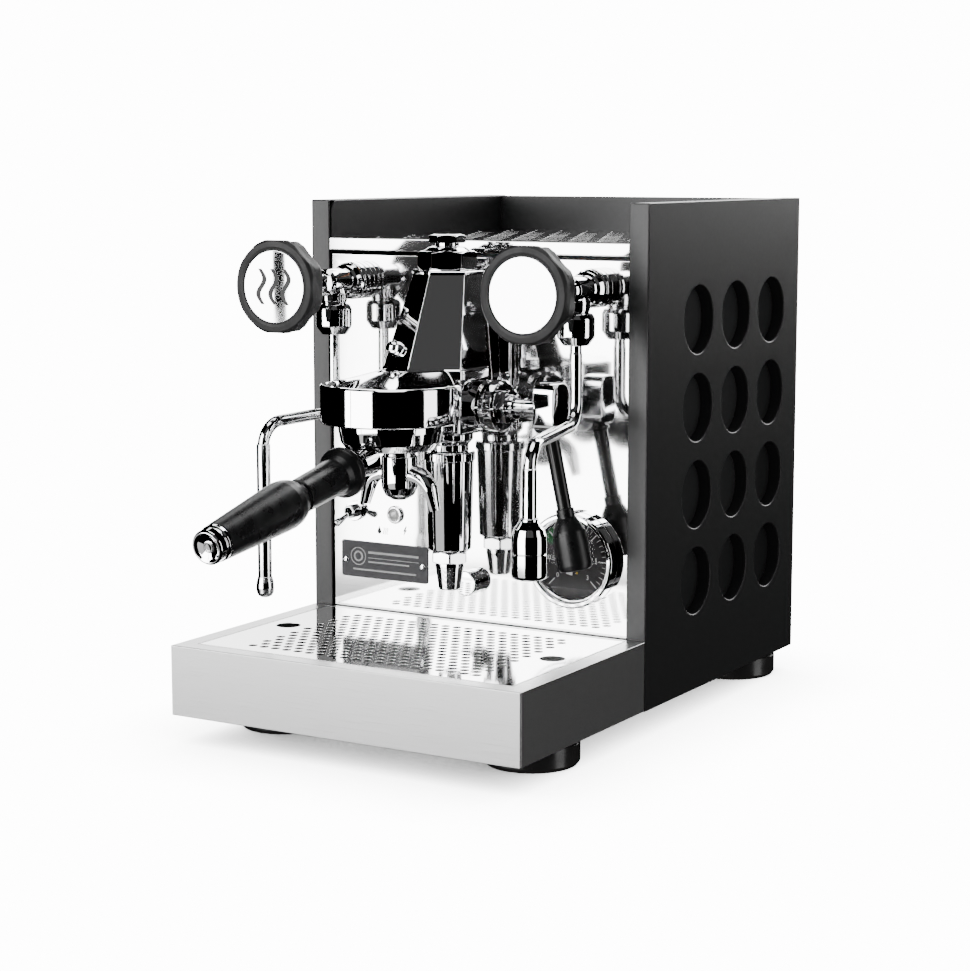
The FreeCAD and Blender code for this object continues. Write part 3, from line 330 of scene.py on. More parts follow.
def piece(name, shapes, material, node, sharp=28):
    """One visible mesh from shapes already in metres, on the body of a CAD node."""
    verts, faces = [], []
    for shape_verts, shape_faces in shapes:
        start = len(verts)
        verts += [tuple(v) for v in shape_verts]
        faces += [[start + i for i in f] for f in shape_faces]
    mesh = bpy.data.meshes.new(name)
    mesh.from_pydata(verts, [], faces)
    bm = bmesh.new()
    bm.from_mesh(mesh)
    bmesh.ops.remove_doubles(bm, verts=bm.verts, dist=1e-7)
    bmesh.ops.recalc_face_normals(bm, faces=bm.faces)
    bm.to_mesh(mesh)
    bm.free()
    mesh.polygons.foreach_set("use_smooth", [True] * len(mesh.polygons))
    mesh.set_sharp_from_angle(angle=math.radians(sharp))
    obj = bpy.data.objects.new(name, mesh)
    bpy.context.scene.collection.objects.link(obj)
    mesh.materials.append(material)
    weigh = obj.modifiers.new("weigh", "WEIGHTED_NORMAL")
    weigh.keep_sharp = True
    weigh.weight = FLAT_FACE_WEIGHT
    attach(obj, BODY_OF[node])
    return obj


def stand_in(node, shapes, material, sharp=28):
    """A detailed mesh shown in place of one CAD node."""
    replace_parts(piece(node + "_look", shapes, material, node, sharp), node)


def turned(node, profile, material, along="z", edge=0.35):
    """A lathe-turned stand-in: heights run in millimetres from the node's own end."""
    stand_in(node, [spun(profile, at(start_of(node, along), along), edge, 128)], material, 40)


def keep(node, material, edge):
    """A CAD node shown as it is, with its edges eased by modifiers."""
    obj = frame["nodes"][node]
    obj.data.materials.clear()
    obj.data.materials.append(material)
    weld = obj.modifiers.new("weld", "WELD")
    weld.merge_threshold = 1e-6
    flat = obj.modifiers.new("flat", "DECIMATE")
    flat.decimate_type = "DISSOLVE"
    flat.angle_limit = math.radians(0.5)
    if edge:
        bevel = obj.modifiers.new("ease", "BEVEL")
        bevel.width = edge * MM
        bevel.segments = 2
        bevel.limit_method = "ANGLE"
        bevel.angle_limit = math.radians(40)
        bevel.harden_normals = True
        obj.data.polygons.foreach_set("use_smooth", [True] * len(obj.data.polygons))


# ---------- materials

def shader(name, color, metallic, roughness, gloss, relief=None, tone=None, sockets=()):
    """A procedural material on the principled shader.

    gloss is (texture, lowest, highest roughness), relief is (texture, depth in mm, strength) and
    tone is (texture, darkest, brightest share of the colour). A texture is (features per metre,
    detail) and may go on with a stretch and a kind of node.
    """
    material = bpy.data.materials.new(name)
    material.use_nodes = True
    tree = material.node_tree
    inputs = tree.nodes["Principled BSDF"].inputs
    coords = tree.nodes.new("ShaderNodeTexCoord").outputs["Object"]

    def noise(scale, detail, stretch=(1, 1, 1), kind="ShaderNodeTexNoise"):
        mapping = tree.nodes.new("ShaderNodeMapping")
        mapping.inputs["Scale"].default_value = stretch
        tree.links.new(coords, mapping.inputs["Vector"])
        node = tree.nodes.new(kind)
        node.inputs["Scale"].default_value = scale
        if "Detail" in node.inputs:
            node.inputs["Detail"].default_value = detail
        tree.links.new(mapping.outputs["Vector"], node.inputs["Vector"])
        return node.outputs[0]

    def ranged(value, *limits):
        node = tree.nodes.new("ShaderNodeMapRange")
        for socket, number in zip(("From Min", "From Max", "To Min", "To Max"), limits):
            node.inputs[socket].default_value = number
        tree.links.new(value, node.inputs["Value"])
        return node.outputs["Result"]

    constant = {"Base Color": (*color, 1), "Metallic": metallic, "Roughness": roughness, **dict(sockets)}
    for socket, value in constant.items():
        inputs[socket].default_value = value
    texture, lowest, highest = gloss
    tree.links.new(ranged(noise(*texture), 0.35, 0.65, lowest, highest), inputs["Roughness"])
    if relief:
        texture, depth, strength = relief
        bump = tree.nodes.new("ShaderNodeBump")
        bump.inputs["Distance"].default_value = depth * MM
        bump.inputs["Strength"].default_value = strength
        tree.links.new(noise(*texture), bump.inputs["Height"])
        tree.links.new(bump.outputs["Normal"], inputs["Normal"])
    if tone:
        texture, darkest, brightest = tone
        mix = tree.nodes.new("ShaderNodeMix")
        mix.data_type = "RGBA"
        mix.inputs["A"].default_value = (*[c * darkest for c in color], 1)
        mix.inputs["B"].default_value = (*[min(1, c * brightest) for c in color], 1)
        tree.links.new(ranged(noise(*texture), 0.3, 0.7, 0, 1), mix.inputs["Factor"])
        tree.links.new(mix.outputs["Result"], inputs["Base Color"])
    return material


def powder_coat(name, color, roughness):
    return shader(name, color, 0.0, roughness, ((400, 2), roughness - 0.015, roughness + 0.015),
                  ((1400, 3), 0.004, 0.25), ((300, 3), 0.93, 1.07), {"Specular IOR Level": 0.22})


def moulded_plastic(name, color, roughness, grain=0.02):
    return shader(name, color, 0.0, roughness, ((90, 5), roughness - 0.05, roughness + 0.06),
                  ((2400, 3), grain, 0.3), ((30, 4), 0.85, 1.15), {"Specular IOR Level": 0.2})


def flat_print(name, color, roughness=0.5):
    return shader(name, color, 0.0, roughness, ((300, 3), roughness - 0.08, roughness + 0.08),
                  ((3000, 2), 0.006, 0.3), sockets={"Specular IOR Level": 0.15})


BRUSH_GRAIN = (3600, 4, (0.006, 1, 1))
LENS_CELLS = (1500, 0, (1, 1, 1), "ShaderNodeTexVoronoi")
CHROME = shader("chrome_plate", (0.86, 0.86, 0.87), 1.0, 0.03, ((28, 6), 0.015, 0.055),
                ((900, 2), 0.001, 0.2))
TUBE = shader("polished_tube", (0.80, 0.80, 0.81), 1.0, 0.06, ((220, 4, (1, 1, 0.15)), 0.04, 0.10),
              ((900, 2, (1, 1, 0.1)), 0.004, 0.4))
MIRROR = shader("mirror_sheet", (0.80, 0.80, 0.80), 1.0, 0.04, ((14, 8), 0.05, 0.085),
                ((700, 3), 0.002, 0.15), ((6, 3), 0.97, 1.0))
BRUSHED = shader("brushed_sheet", (0.42, 0.42, 0.42), 1.0, 0.3, (BRUSH_GRAIN, 0.27, 0.33),
                 (BRUSH_GRAIN, 0.002, 0.4), (BRUSH_GRAIN, 0.97, 1.02), {"Anisotropic": 0.4})
COAT = powder_coat("powder_coat", (0.012, 0.012, 0.0125), 0.34)
DARK_SHEET = powder_coat("dark_sheet", (0.022, 0.022, 0.023), 0.42)
BLACK_PLASTIC = moulded_plastic("black_plastic", (0.006, 0.006, 0.0065), 0.3)
STEM_BLACK = moulded_plastic("stem_black", (0.01, 0.01, 0.01), 0.16, 0.003)
KNOB_PLASTIC = moulded_plastic("knob_plastic", (0.012, 0.012, 0.0125), 0.55, 0.03)
RUBBER = moulded_plastic("black_rubber", (0.016, 0.016, 0.016), 0.5, 0.04)
FOOT_PLASTIC = moulded_plastic("foot_plastic", (0.02, 0.019, 0.019), 0.22, 0.01)
COPPER = shader("boiler_copper", (0.72, 0.40, 0.28), 1.0, 0.3, ((60, 8), 0.2, 0.45),
                ((300, 4), 0.03, 0.3), ((18, 8), 0.6, 1.05))
TANK = shader("tank_plastic", (0.75, 0.78, 0.80), 0.0, 0.35, ((50, 4), 0.28, 0.42),
              ((400, 2), 0.03, 0.3), sockets={"Subsurface Weight": 0.1})
GLASS = shader("gauge_glass", (1, 1, 1), 0.0, 0.0, ((80, 5), 0.0, 0.03),
               sockets={"Transmission Weight": 1.0, "IOR": 1.12})
LENS = shader("lamp_lens", (0.92, 0.93, 0.9), 0.0, 0.15, ((200, 3), 0.08, 0.2),
              (LENS_CELLS, 0.1, 0.4), sockets={"Transmission Weight": 0.3, "Coat Weight": 1.0})
DIAL = flat_print("dial_print", (0.052, 0.05, 0.052), 0.55)
WHITE_PRINT = flat_print("white_print", (0.72, 0.72, 0.72))
GREEN_PRINT = flat_print("green_print", (0.02, 0.10, 0.035))
YELLOW_PRINT = flat_print("yellow_print", (0.5, 0.36, 0.05))
PLATE_PRINT = flat_print("plate_print", (0.06, 0.06, 0.065))
ICON_PRINT = flat_print("icon_print", (0.02, 0.02, 0.02))
MARK_PRINT = flat_print("mark_print", (0.08, 0.08, 0.08))


# ---------- casing

def side_panel(node, outward):
    """Folded panel: skin with twelve drawn openings, front and back flanges and a top lip."""
    sheet, lip, depth, radius = 1.5, 1.8, 9.5, 23.6
    lo, hi = span(node)
    rows = [96.5 + 61.1 * i for i in range(4)]
    columns = [lo.y + 78.3 + 61.9 * i for i in range(3)]
    face_x, skin_x, along = (hi.x, hi.x - sheet, "x") if outward > 0 else (lo.x, lo.x, "-x")
    holes = [ring(y, z, radius + lip, 64) for y in columns for z in rows]
    skin = slab(rectangle(lo.y, lo.z, hi.y, hi.z, 1.0), holes, sheet, 0.5)
    shapes = [placed(skin, at((skin_x, 0, 0), FACING_X))]
    outer = radius + lip + 2.5
    collar = soften([(outer, 0), (radius + lip + 0.2, 0, 0.4), (radius, 0, lip), (radius, -depth, 0.5),
                     (radius + 1.2, -depth, 0.5), (radius + 1.2, -sheet - 0.6, 0.6),
                     (outer, -sheet + 0.2)], 0.5, 6)
    shapes += [placed(lathe(collar, 72, closed=True), at((face_x - 0.02 * outward, y, z), along))
               for y in columns for z in rows]
    shapes += walls(lo, hi, sheet, ("front", "back"), 0.7)
    lip_low, lip_high = sorted((face_x - outward * 12, face_x))
    shapes.append(block((lip_low, lo.y, hi.z - sheet), (lip_high, hi.y, hi.z), 0.7, 3))
    stand_in(node, shapes, COAT)


def cup_rail():
    """Rail of thin sheet on three sides, its front corners rounded."""
    lo, hi = span("cup_rail")
    sheet = 1.5
    outline = soften([(lo.y, lo.z), (hi.y, lo.z), (hi.y, hi.z), (lo.y, hi.z, 10)], 0.4, 8, True)
    side = slab(outline, [], sheet, 0.5)
    shapes = [placed(side, at((x, 0, 0), FACING_X)) for x in (lo.x, hi.x - sheet)]
    stand_in("cup_rail", shapes + walls(lo, hi, sheet, ["back"], 0.6), COAT)


def cup_tray():
    """Lift-off tray with staggered rows of slots, its edges turned down on three sides."""
    lo, hi = span("cup_tray")
    sheet, length, width, rows, columns = 1.2, 14, 3.2, 9, 9
    holes = []
    for row in range(rows):
        y = lo.y + 25.4 + row * 24
        for column in range(columns):
            x = -100 + column * 22.5 + (row % 2) * 11.25
            if x + length < hi.x - 4:
                holes.append(slot(x, y, x + length, y + width))
    deck = slab(rectangle(lo.x, lo.y, hi.x, hi.y, 1), holes, sheet, 0.35)
    shapes = [placed(deck, at((0, 0, hi.z - sheet)))]
    stand_in("cup_tray", shapes + walls(lo, hi, sheet, ("left", "right", "back"), 0.5), MIRROR)


def front_sheets():
    """Top strip and backsplash, with the openings for what is fixed through them."""
    lo, hi = span("front_strip")
    strip = [block((lo.x, lo.y, lo.z), (hi.x, lo.y + 1.5, hi.z), 0.45, 3),
             block((lo.x + 0.5, lo.y, lo.z), (hi.x - 0.5, hi.y, lo.z + 1), 0.3)]
    stand_in("front_strip", strip, MIRROR)
    lo, hi = span("backsplash")
    holes = [ring(centre(node).x, centre(node).z, radius, count) for node, radius, count in (
        ("gauge_case", 28.8, 64), ("switch_bushing", 3.6, 32), ("pilot_lens", 4, 32), ("service_cap", 5, 32))]
    group_pipes = (285, 215)
    holes += [ring(0, z, 9) for z in group_pipes]
    holes += [ring(centre(node).x, centre(node).z, 7) for node in ("steam_knob", "water_knob")]
    splash = slab(rectangle(lo.x, lo.z, hi.x, hi.z, 0.6), holes, hi.y - lo.y, 0.3)
    stand_in("backsplash", [placed(splash, at((0, hi.y, 0), "-y"))], MIRROR)


def back_panel():
    """Back sheet with three columns of cooling slots and the opening of the mains inlet."""
    lo, hi = span("back_panel")
    holes = [slot(-70 + c * 52, 230 + r * 11, -34 + c * 52, 234 + r * 11) for r in range(7) for c in range(3)]
    inlet = centre("mains_inlet")
    holes.append(rectangle(inlet.x - 14, inlet.z - 11, inlet.x + 14, inlet.z + 11, 1))
    sheet = slab(rectangle(lo.x, lo.z, hi.x, hi.z, 1), holes, hi.y - lo.y, 0.3)
    stand_in("back_panel", [placed(sheet, at((0, hi.y, 0), "-y"))], COAT)


def feet():
    """Four round feet, each with a groove near its top."""
    lo, hi = span("feet")
    radius, top = 32, hi.z - lo.z
    profile = [(0, 0.6), (26, 0.6), (27, 0), (30, 0, 0.5), (radius, 2.4, 1.5), (radius, top - 3.2),
               (radius - 0.7, top - 2.8, 0.2), (radius - 0.7, top - 2.2, 0.2), (radius, top - 1.8),
               (radius, top, 0.3), (0, top)]
    front_y = lo.y + radius
    back_y = hi.y - radius
    spots = [(-98, front_y), (98, front_y), (lo.x + radius, back_y), (hi.x - radius, back_y)]
    stand_in("feet", [spun(profile, at((x, y, lo.z)), 0.4, 128) for x, y in spots], FOOT_PLASTIC)


def casing():
    side_panel("side_panel_left", -1)
    side_panel("side_panel_right", 1)
    cup_rail()
    cup_tray()
    front_sheets()
    back_panel()
    feet()
    keep("base_frame", DARK_SHEET, 0.4)
    keep("side_inserts", DARK_SHEET, 0.3)


# ---------- drip tray

def drip_tray():
    """Folded tray: rim, front plate with a seam behind it, side walls, the pan and its corner rests."""
    lo, hi = span("drip_tray")
    wall, rim, seam, pan_z = 1.4, 12.7, 0.45, 22.0
    x0, y0, x1, y1 = lo.x + rim, lo.y + rim, hi.x - rim, high("drip_grate").y + 0.7
    top = slab(rectangle(lo.x, lo.y + 0.9, hi.x, hi.y, 0.5), [rectangle(x0, y0, x1, y1, 1.2)], wall, 0.4)
    shapes = [placed(top, at((0, 0, hi.z - wall))),
              block((lo.x, lo.y, lo.z), (hi.x, lo.y + wall, hi.z), 0.55, 3)]
    side_y, side_z, pan_top = lo.y + wall + seam, hi.z - 0.2, hi.z - 0.3
    boxes = [
        ((lo.x + 0.15, side_y, lo.z), (lo.x + wall, hi.y, side_z)),
        ((hi.x - wall, side_y, lo.z), (hi.x - 0.15, hi.y, side_z)),
        ((x0 - wall, y0 - wall, pan_z), (x1 + wall, y1 + wall, pan_z + wall)),
        ((x0 - wall, y0 - wall, pan_z), (x0, y1 + wall, pan_top)),
        ((x1, y0 - wall, pan_z), (x1 + wall, y1 + wall, pan_top)),
        ((x0 - wall, y0 - wall, pan_z), (x1 + wall, y0, pan_top)),
        ((x0 - wall, y1, pan_z), (x1 + wall, y1 + wall, pan_top)),
    ]
    boxes += [((x, y, hi.z - 7), (x + 5, y + 5, hi.z - 5.35)) for x in (x0, x1 - 5) for y in (y0, y1 - 5)]
    stand_in("drip_tray", shapes + [block(a, b) for a, b in boxes], BRUSHED)


def drip_grate():
    """Thin deck with staggered round holes and two finger holes, its edges turned down all round."""
    lo, hi = span("drip_grate")
    thin, pitch, field_width, field_depth = 0.5, 9.2, 178, 124
    row_step = pitch * math.sqrt(3) / 2
    columns = int(field_width / pitch)
    holes = []
    for row in range(int(field_depth / row_step) + 1):
        for column in range(columns + (row % 2 == 0)):
            x = -columns * pitch / 2 + column * pitch + (row % 2) * pitch / 2
            holes.append(ring(x, lo.y + 14.8 + row * row_step, 3.1, 20))
    holes += [ring(x, (lo.y + hi.y) / 2 + 4.8, 8.5, 48) for x in (-105.5, 105.5)]
    deck = slab(rectangle(lo.x, lo.y, hi.x, hi.y, 1.2), holes, thin, 0.12)
    shapes = [placed(deck, at((0, 0, hi.z - thin)))]
    stand_in("drip_grate", shapes + walls(lo, hi, 1.2, ("left", "right", "front", "back"), 0.45), MIRROR)


# ---------- brew group

def hexagon(center_y, radius, z, blunt=2):
    """A level hexagon, a corner to the front, with slightly rounded corners."""
    turns = [math.radians(60 * i) for i in range(6)]
    corners = [(radius * math.sin(a), center_y - radius * math.cos(a)) for a in turns]
    return level(soften(corners, blunt, 4, True), z)


def group_body():
    """Chrome casting: leaning hexagonal neck on its ledge, shoulder, brew ring and cam housing."""
    brew_y = centre("filter_basket").y
    column = centre("valve_chamber")
    back_y = high("group_body").y
    neck_y = column.y - 18
    top_y = column.y - 1.5
    ledge_z, neck_z, crown_z = 244.2, 251.7, 313.3
    bell_top, bell_low = 244.6, 219.1
    neck = [hexagon(neck_y, 35.2, neck_z - 1, 1.2), hexagon(top_y, 23.4, crown_z, 1.2)]
    crown = [hexagon(top_y, radius, crown_z + rise)
             for radius, rise in ((23.6, -0.6), (24.6, 0), (24.6, 1.5), (24, 2))]
    ledge = [hexagon(neck_y, radius, z) for radius, z in (
        (35.4, ledge_z), (36.2, ledge_z + 0.8), (36.2, neck_z - 0.8), (35.4, neck_z))]
    wide, narrow = 43.5, 20
    shoulder = []
    for share in (0, 0.12, 0.25, 0.4, 0.55, 0.7, 0.85, 1):
        middle = brew_y + (neck_y - 20 - brew_y) * share
        rise = 8.2 * (share ** 0.8) ** 1.5
        shoulder.append(level(ring(0, middle, wide + (narrow - wide) * share, 96), bell_top - 0.6 + rise))
    trunk = [level(rectangle(-w, column.y - front, w, back_y - 18, 5), z)
             for w, front, z in ((23, 26, 206), (24, 28, 208), (24, 28, 244), (21, 8, 310), (20, 6, 312))]
    shapes = [placed(loft(rings), at((0, 0, 0))) for rings in (neck, crown, ledge, shoulder, trunk)]
    shapes.append(block((-32, back_y - 21, 204), (32, back_y - 15, 310), 1.5, 4))
    bell = [(29, bell_top - 1), (29, 236.1), (35.6, 236.1), (35.6, 230), (39.4, 230), (39.4, 222),
            (35.6, 222), (35.6, bell_low, 0.5), (45.6, bell_low, 0.9), (46.4, bell_low + 0.8, 0.5),
            (46.4, bell_top - 1.2, 0.6), (45.4, bell_top, 0.7), (42.6, bell_top, 0.6), (40, bell_top - 1)]
    shapes.append(spun(bell, at((0, brew_y, 0)), 0.4, 160))
    housing = [(6.2, 0), (15.5, 0, 0.6), (17, 1.6, 0.6), (17, 62, 0.5), (15.4, 63.4), (15.4, 67),
               (17.6, 68.2, 0.5), (17.6, 74.6, 0.6), (15.8, 76, 0.5), (6.2, 76)]
    shapes.append(spun(housing, at((-32, column.y, centre("lever_shaft").z), "x"), 0.4))
    boss = [(0, 0), (13.2, 0), (13.2, 4.5, 1.5), (16.4, 8, 2.5), (16.4, 22), (0, 22)]
    shapes.append(spun(boss, at((0, column.y, high("valve_chamber").z + 0.2)), 0.5))
    bolt = lathe(soften(dense([(0, 0), (7, 0), (7, 4), (6, 4.8), (0, 4.8)]), 0.3), 48, flats(6, 5.6))
    shapes += [placed(bolt, at((x, back_y - 21, z), "-y")) for x in (-26, 26) for z in (212, 302)]
    plug = [(0, -2), (5.4, -2), (5.4, 1.6, 0.4), (4.2, 2.2), (4.2, 5, 0.5), (2.8, 6.2, 0.6), (0, 6.6)]
    outward = Vector((-0.5, -0.84, 0.2)).to_track_quat("Z", "Y").to_matrix()
    shapes.append(spun(plug, at((-19.5, neck_y - 18.5, 264), outward), 0.3, 48))
    stand_in("group_body", shapes, CHROME, 30)


def group_nuts():
    """The large nut on top of the group, on its washer, and the small jet nut on that."""
    place = at(start_of("group_top_nut", "z"))
    washer = spun([(0, 0), (19, 0), (19, 1), (14, 1)], place)
    nut = hexed([(0, 1), (18.2, 1), (20.6, 2.2, 0.4), (20.6, 11.6, 0.4), (18, 13, 0.4), (16.5, 13.1, 0.4),
                 (12.5, 15.6, 0.6), (11, 16), (0, 16)], 17.65, 20.2, place)
    stand_in("group_top_nut", [washer, nut], CHROME, 30)
    place = at(start_of("group_jet_nut", "z"))
    neck = spun([(0, 0), (8.6, 0), (8, 0.6), (8, 2.6), (0, 2.6)], place)
    nut = hexed([(0, 2.5), (11.4, 2.5), (12.9, 3.3), (12.9, 6.8), (11.2, 7.7, 0.4), (9, 8.4, 0.4),
                 (0, 8.4)], 11, 12.6, place)
    stand_in("group_jet_nut", [neck, nut], CHROME, 30)


def valve_column():
    """Lower valve chamber of the group and the drain outlet that is screwed into it."""
    chamber = [(0, 0), (13.6, 0), (14.9, 1.2, 0.4), (16.7, 61.6, 0.5), (16.2, 62.2, 0.2), (17.7, 62.8),
               (17.7, 67.6, 0.5), (16.6, 68.8, 0.4), (0, 68.8)]
    turned("valve_chamber", chamber, CHROME, edge=0.3)
    start = start_of("drain_outlet", "z")
    cone = spun([(3.5, 6), (3.5, 0.3), (6.9, 0, 0.5), (7.6, 0.8, 0.5), (9.8, 16, 0.6), (9.8, 19.4),
                 (0, 19.4)], at(start))
    nut = hexed([(0, 19), (11.8, 19), (13.4, 20, 0.4), (13.4, 25.6, 0.4), (12, 26.4), (10.4, 27.6),
                 (0, 27.6)], 11.7, 13.3, at(start, "z", 30))
    stand_in("drain_outlet", [cone, nut], CHROME, 30)


def lever():
    """Gland nut, cam shaft, and the hub with its stem and grip hanging a little outwards."""
    nut = hexed([(6.2, 0), (11.4, 0), (12.7, 0.9), (12.7, 4.2), (11.2, 5), (8.2, 5), (8.2, 9, 0.5), (6.2, 9)],
                11, 12.55, at(start_of("cam_gland_nut", "x"), "x"))
    stand_in("cam_gland_nut", [nut], CHROME, 30)
    shaft = [(0, 0), (5.4, 0, 0.3), (6.1, 0.7, 0.3), (6.1, 84, 0.3), (5.6, 84.5, 0.2), (5.6, 85.2, 0.2),
             (6.1, 85.7, 0.3), (6.1, 95), (0, 95)]
    turned("lever_shaft", shaft, CHROME, "x")
    y, z = centre("lever_shaft").y, centre("lever_shaft").z
    hub_low = high("lever_shaft").x
    hub_high = hub_low + 16
    outline = soften([(y - 11, z - 12, 5), (y - 6, z - 16, 2), (y + 6, z - 16, 2), (y + 11, z - 12, 5),
                      (y + 11, z + 17.4, 8), (y - 11, z + 17.4, 8)], 1, 10, True)
    hub = placed(slab(outline, [], hub_high - hub_low, 1.1), at((hub_low, 0, 0), FACING_X))
    lean = math.radians(12.3)
    down = Vector((math.sin(lean), 0, -math.cos(lean)))
    place = at((hub_high - 9, y, z - 11), down.to_track_quat("Z", "Y").to_matrix())
    stem = spun([(0, 0), (5, 0), (5, 7), (5, 61.2, 0.4), (0, 61.8)], place, 0.3, 64)
    bead = spun([(4.8, 6.8), (6.4, 7.4, 0.8), (6.4, 9.6, 0.8), (4.9, 10.6)], place, 0.4, 64)
    stand_in("lever_arm", [hub], CHROME, 30)
    piece("lever_stem", [stem, bead], STEM_BLACK, "lever_arm")
    grip = [(5.05, 56.6), (5.6, 56.4, 0.3), (6.1, 56.8, 0.5), (6.2, 62.4, 4), (8.9, 67, 5), (11, 72, 6),
            (11.8, 80.4, 8), (11.9, 94.6, 1.5), (10.9, 98, 1.6), (8, 98.4, 1), (0, 98.3)]
    stand_in("lever_grip", [spun(grip, place, 0.8, 128, 8)], BLACK_PLASTIC, 40)


# ---------- portafilter

def portafilter():
    """Basin with its lugs and neck, basket, spouts, and the handle drooping from the brew axis."""
    brew_y = centre("filter_basket").y
    brew = at((0, brew_y, 0))
    droop = math.radians(11.1)
    handle = at((0, brew_y, 203.5), Matrix.Rotation(math.pi / 2 + droop, 3, "X"))
    basin = [(0, 201.5), (29.6, 201.5, 2.2), (33.2, 206.5, 3), (34.7, 214, 3), (34.9, 219, 1),
             (34.9, 230.6, 0.4), (34.3, 231, 0.3), (32.8, 231, 0.3), (32.6, 230.4), (32.6, 209.5, 1),
             (28, 204.7, 2), (0, 203.7)]
    neck = [(0, 30), (11.5, 30), (10.2, 35, 4), (8.2, 41, 4), (7.6, 46, 2), (7.6, 50.6, 0.4), (8.9, 51, 0.3),
            (8.9, 52.6, 0.3), (0, 52.6)]
    shapes = [spun(basin, brew, 0.5, 144), spun(neck, handle, 0.6)]
    lug = slab(soften([(33, -9), (38.2, -9), (39, -8), (39, 8), (38.2, 9), (33, 9)], 0.5, 3, True), [], 5,
               0.6)
    shapes += [placed(lug, at((0, brew_y, 223.5), "z", spin)) for spin in (0, 180)]
    stand_in("portafilter_basin", shapes, CHROME, 30)
    basket = [(0, 207), (26, 207, 1), (28.4, 209.4, 2), (31.9, 229.2, 1), (31.9, 231.2), (34.4, 231.2, 0.2),
              (34.6, 231.6, 0.2), (34.4, 232, 0.2), (31.1, 232, 0.6), (31.1, 229, 1), (27.7, 210, 2),
              (25.8, 207.8, 1), (0, 207.8)]
    stand_in("filter_basket", [spun(basket, brew, 0.3, 128)], BRUSHED)
    spouts()
    grip = [(7.7, 52), (11, 52, 0.8), (14.8, 53.6, 1.8), (16.6, 56.5, 1.5), (16.5, 60.5, 2.5),
            (13.4, 64.5, 2.5), (12, 68.5, 5), (11.5, 78, 8), (11, 107, 0.7), (9.8, 107.3, 0.2),
            (9.8, 110.4, 0.2), (11.4, 111.4, 0.4), (13.6, 115, 1.5), (15, 119.4, 2), (15.6, 124.4, 2.5),
            (15.3, 132, 5), (11.7, 191.2), (11, 192), (0, 192)]
    stand_in("handle_grip", [spun(grip, handle, 0.6, 144, 8)], BLACK_PLASTIC, 40)
    cap = [(0, 192), (11.2, 192), (11.5, 192.4), (11.5, 194.4, 0.4), (10.5, 195.2, 0.4), (10.5, 196, 0.4),
           (11, 197, 0.5), (10.8, 201.6, 1), (9.8, 203.1, 0.6), (9, 203, 0.4), (7.4, 201.8, 2),
           (3.6, 200.8, 1), (3.5, 200.9, 0.1), (3.3, 201.4, 0.2), (2.5, 201.4, 0.2), (2.4, 200.8, 0.2),
           (0, 200.7)]
    stand_in("handle_end_cap", [spun(cap, handle, 0.3, 144)], CHROME, 30)


def spouts():
    """Turned body and two open runners that curve down to their lips."""
    y = centre("portafilter_spout").y
    lip_z, top_z = low("portafilter_spout").z, high("portafilter_spout").z
    body = [(0, 166.2), (5, 166.6, 3), (9.6, 169.6, 4), (12, 175, 4), (12.2, 181, 2), (12.2, 195.4, 0.5),
            (10.8, 196.4, 0.4), (10.8, 197.4, 0.4), (12.2, 198.4, 0.5), (12.2, top_z), (0, top_z)]
    shapes = [spun(body, at((0, y, 0)), 0.6)]
    wall = 1.5
    for side in (-1, 1):
        path = bent_path([(side * 6, y, 184), (side * 21, y, 181.5), (side * 26.5, y, lip_z + 0.6)], [13], 5)

        def section(share, side=side):
            """Open channel, wide at the body and narrowing to a pointed lip."""
            width = 7.2 - 2.6 * share ** 1.6
            spread = math.radians(118 - 28 * share)
            turns = [-spread + 2 * spread * i / 16 for i in range(17)]
            outer = [(side * math.cos(a) * width, math.sin(a) * width * 0.95) for a in turns]
            inner = [(side * math.cos(a) * (width - wall),
                      math.sin(a) * (width - wall)) for a in reversed(turns)]
            return outer + inner

        shapes.append(sweep(path, section))
    stand_in("portafilter_spout", shapes, CHROME, 32)


# ---------- taps and wands

def from_flat(angle):
    """Angle from the middle of the nearest side of an octagon."""
    return (angle + math.pi / 8) % (math.pi / 4) - math.pi / 8


def octagon(angle):
    """The knob's rim: an octagon with blunt corners."""
    return min(31.2 / math.cos(from_flat(angle)), 32.4)


def scalloped(angle):
    """The octagon hollowed out in the middle of every side."""
    return octagon(angle) - 2.6 * max(0.0, math.cos(4 * from_flat(angle))) ** 1.2


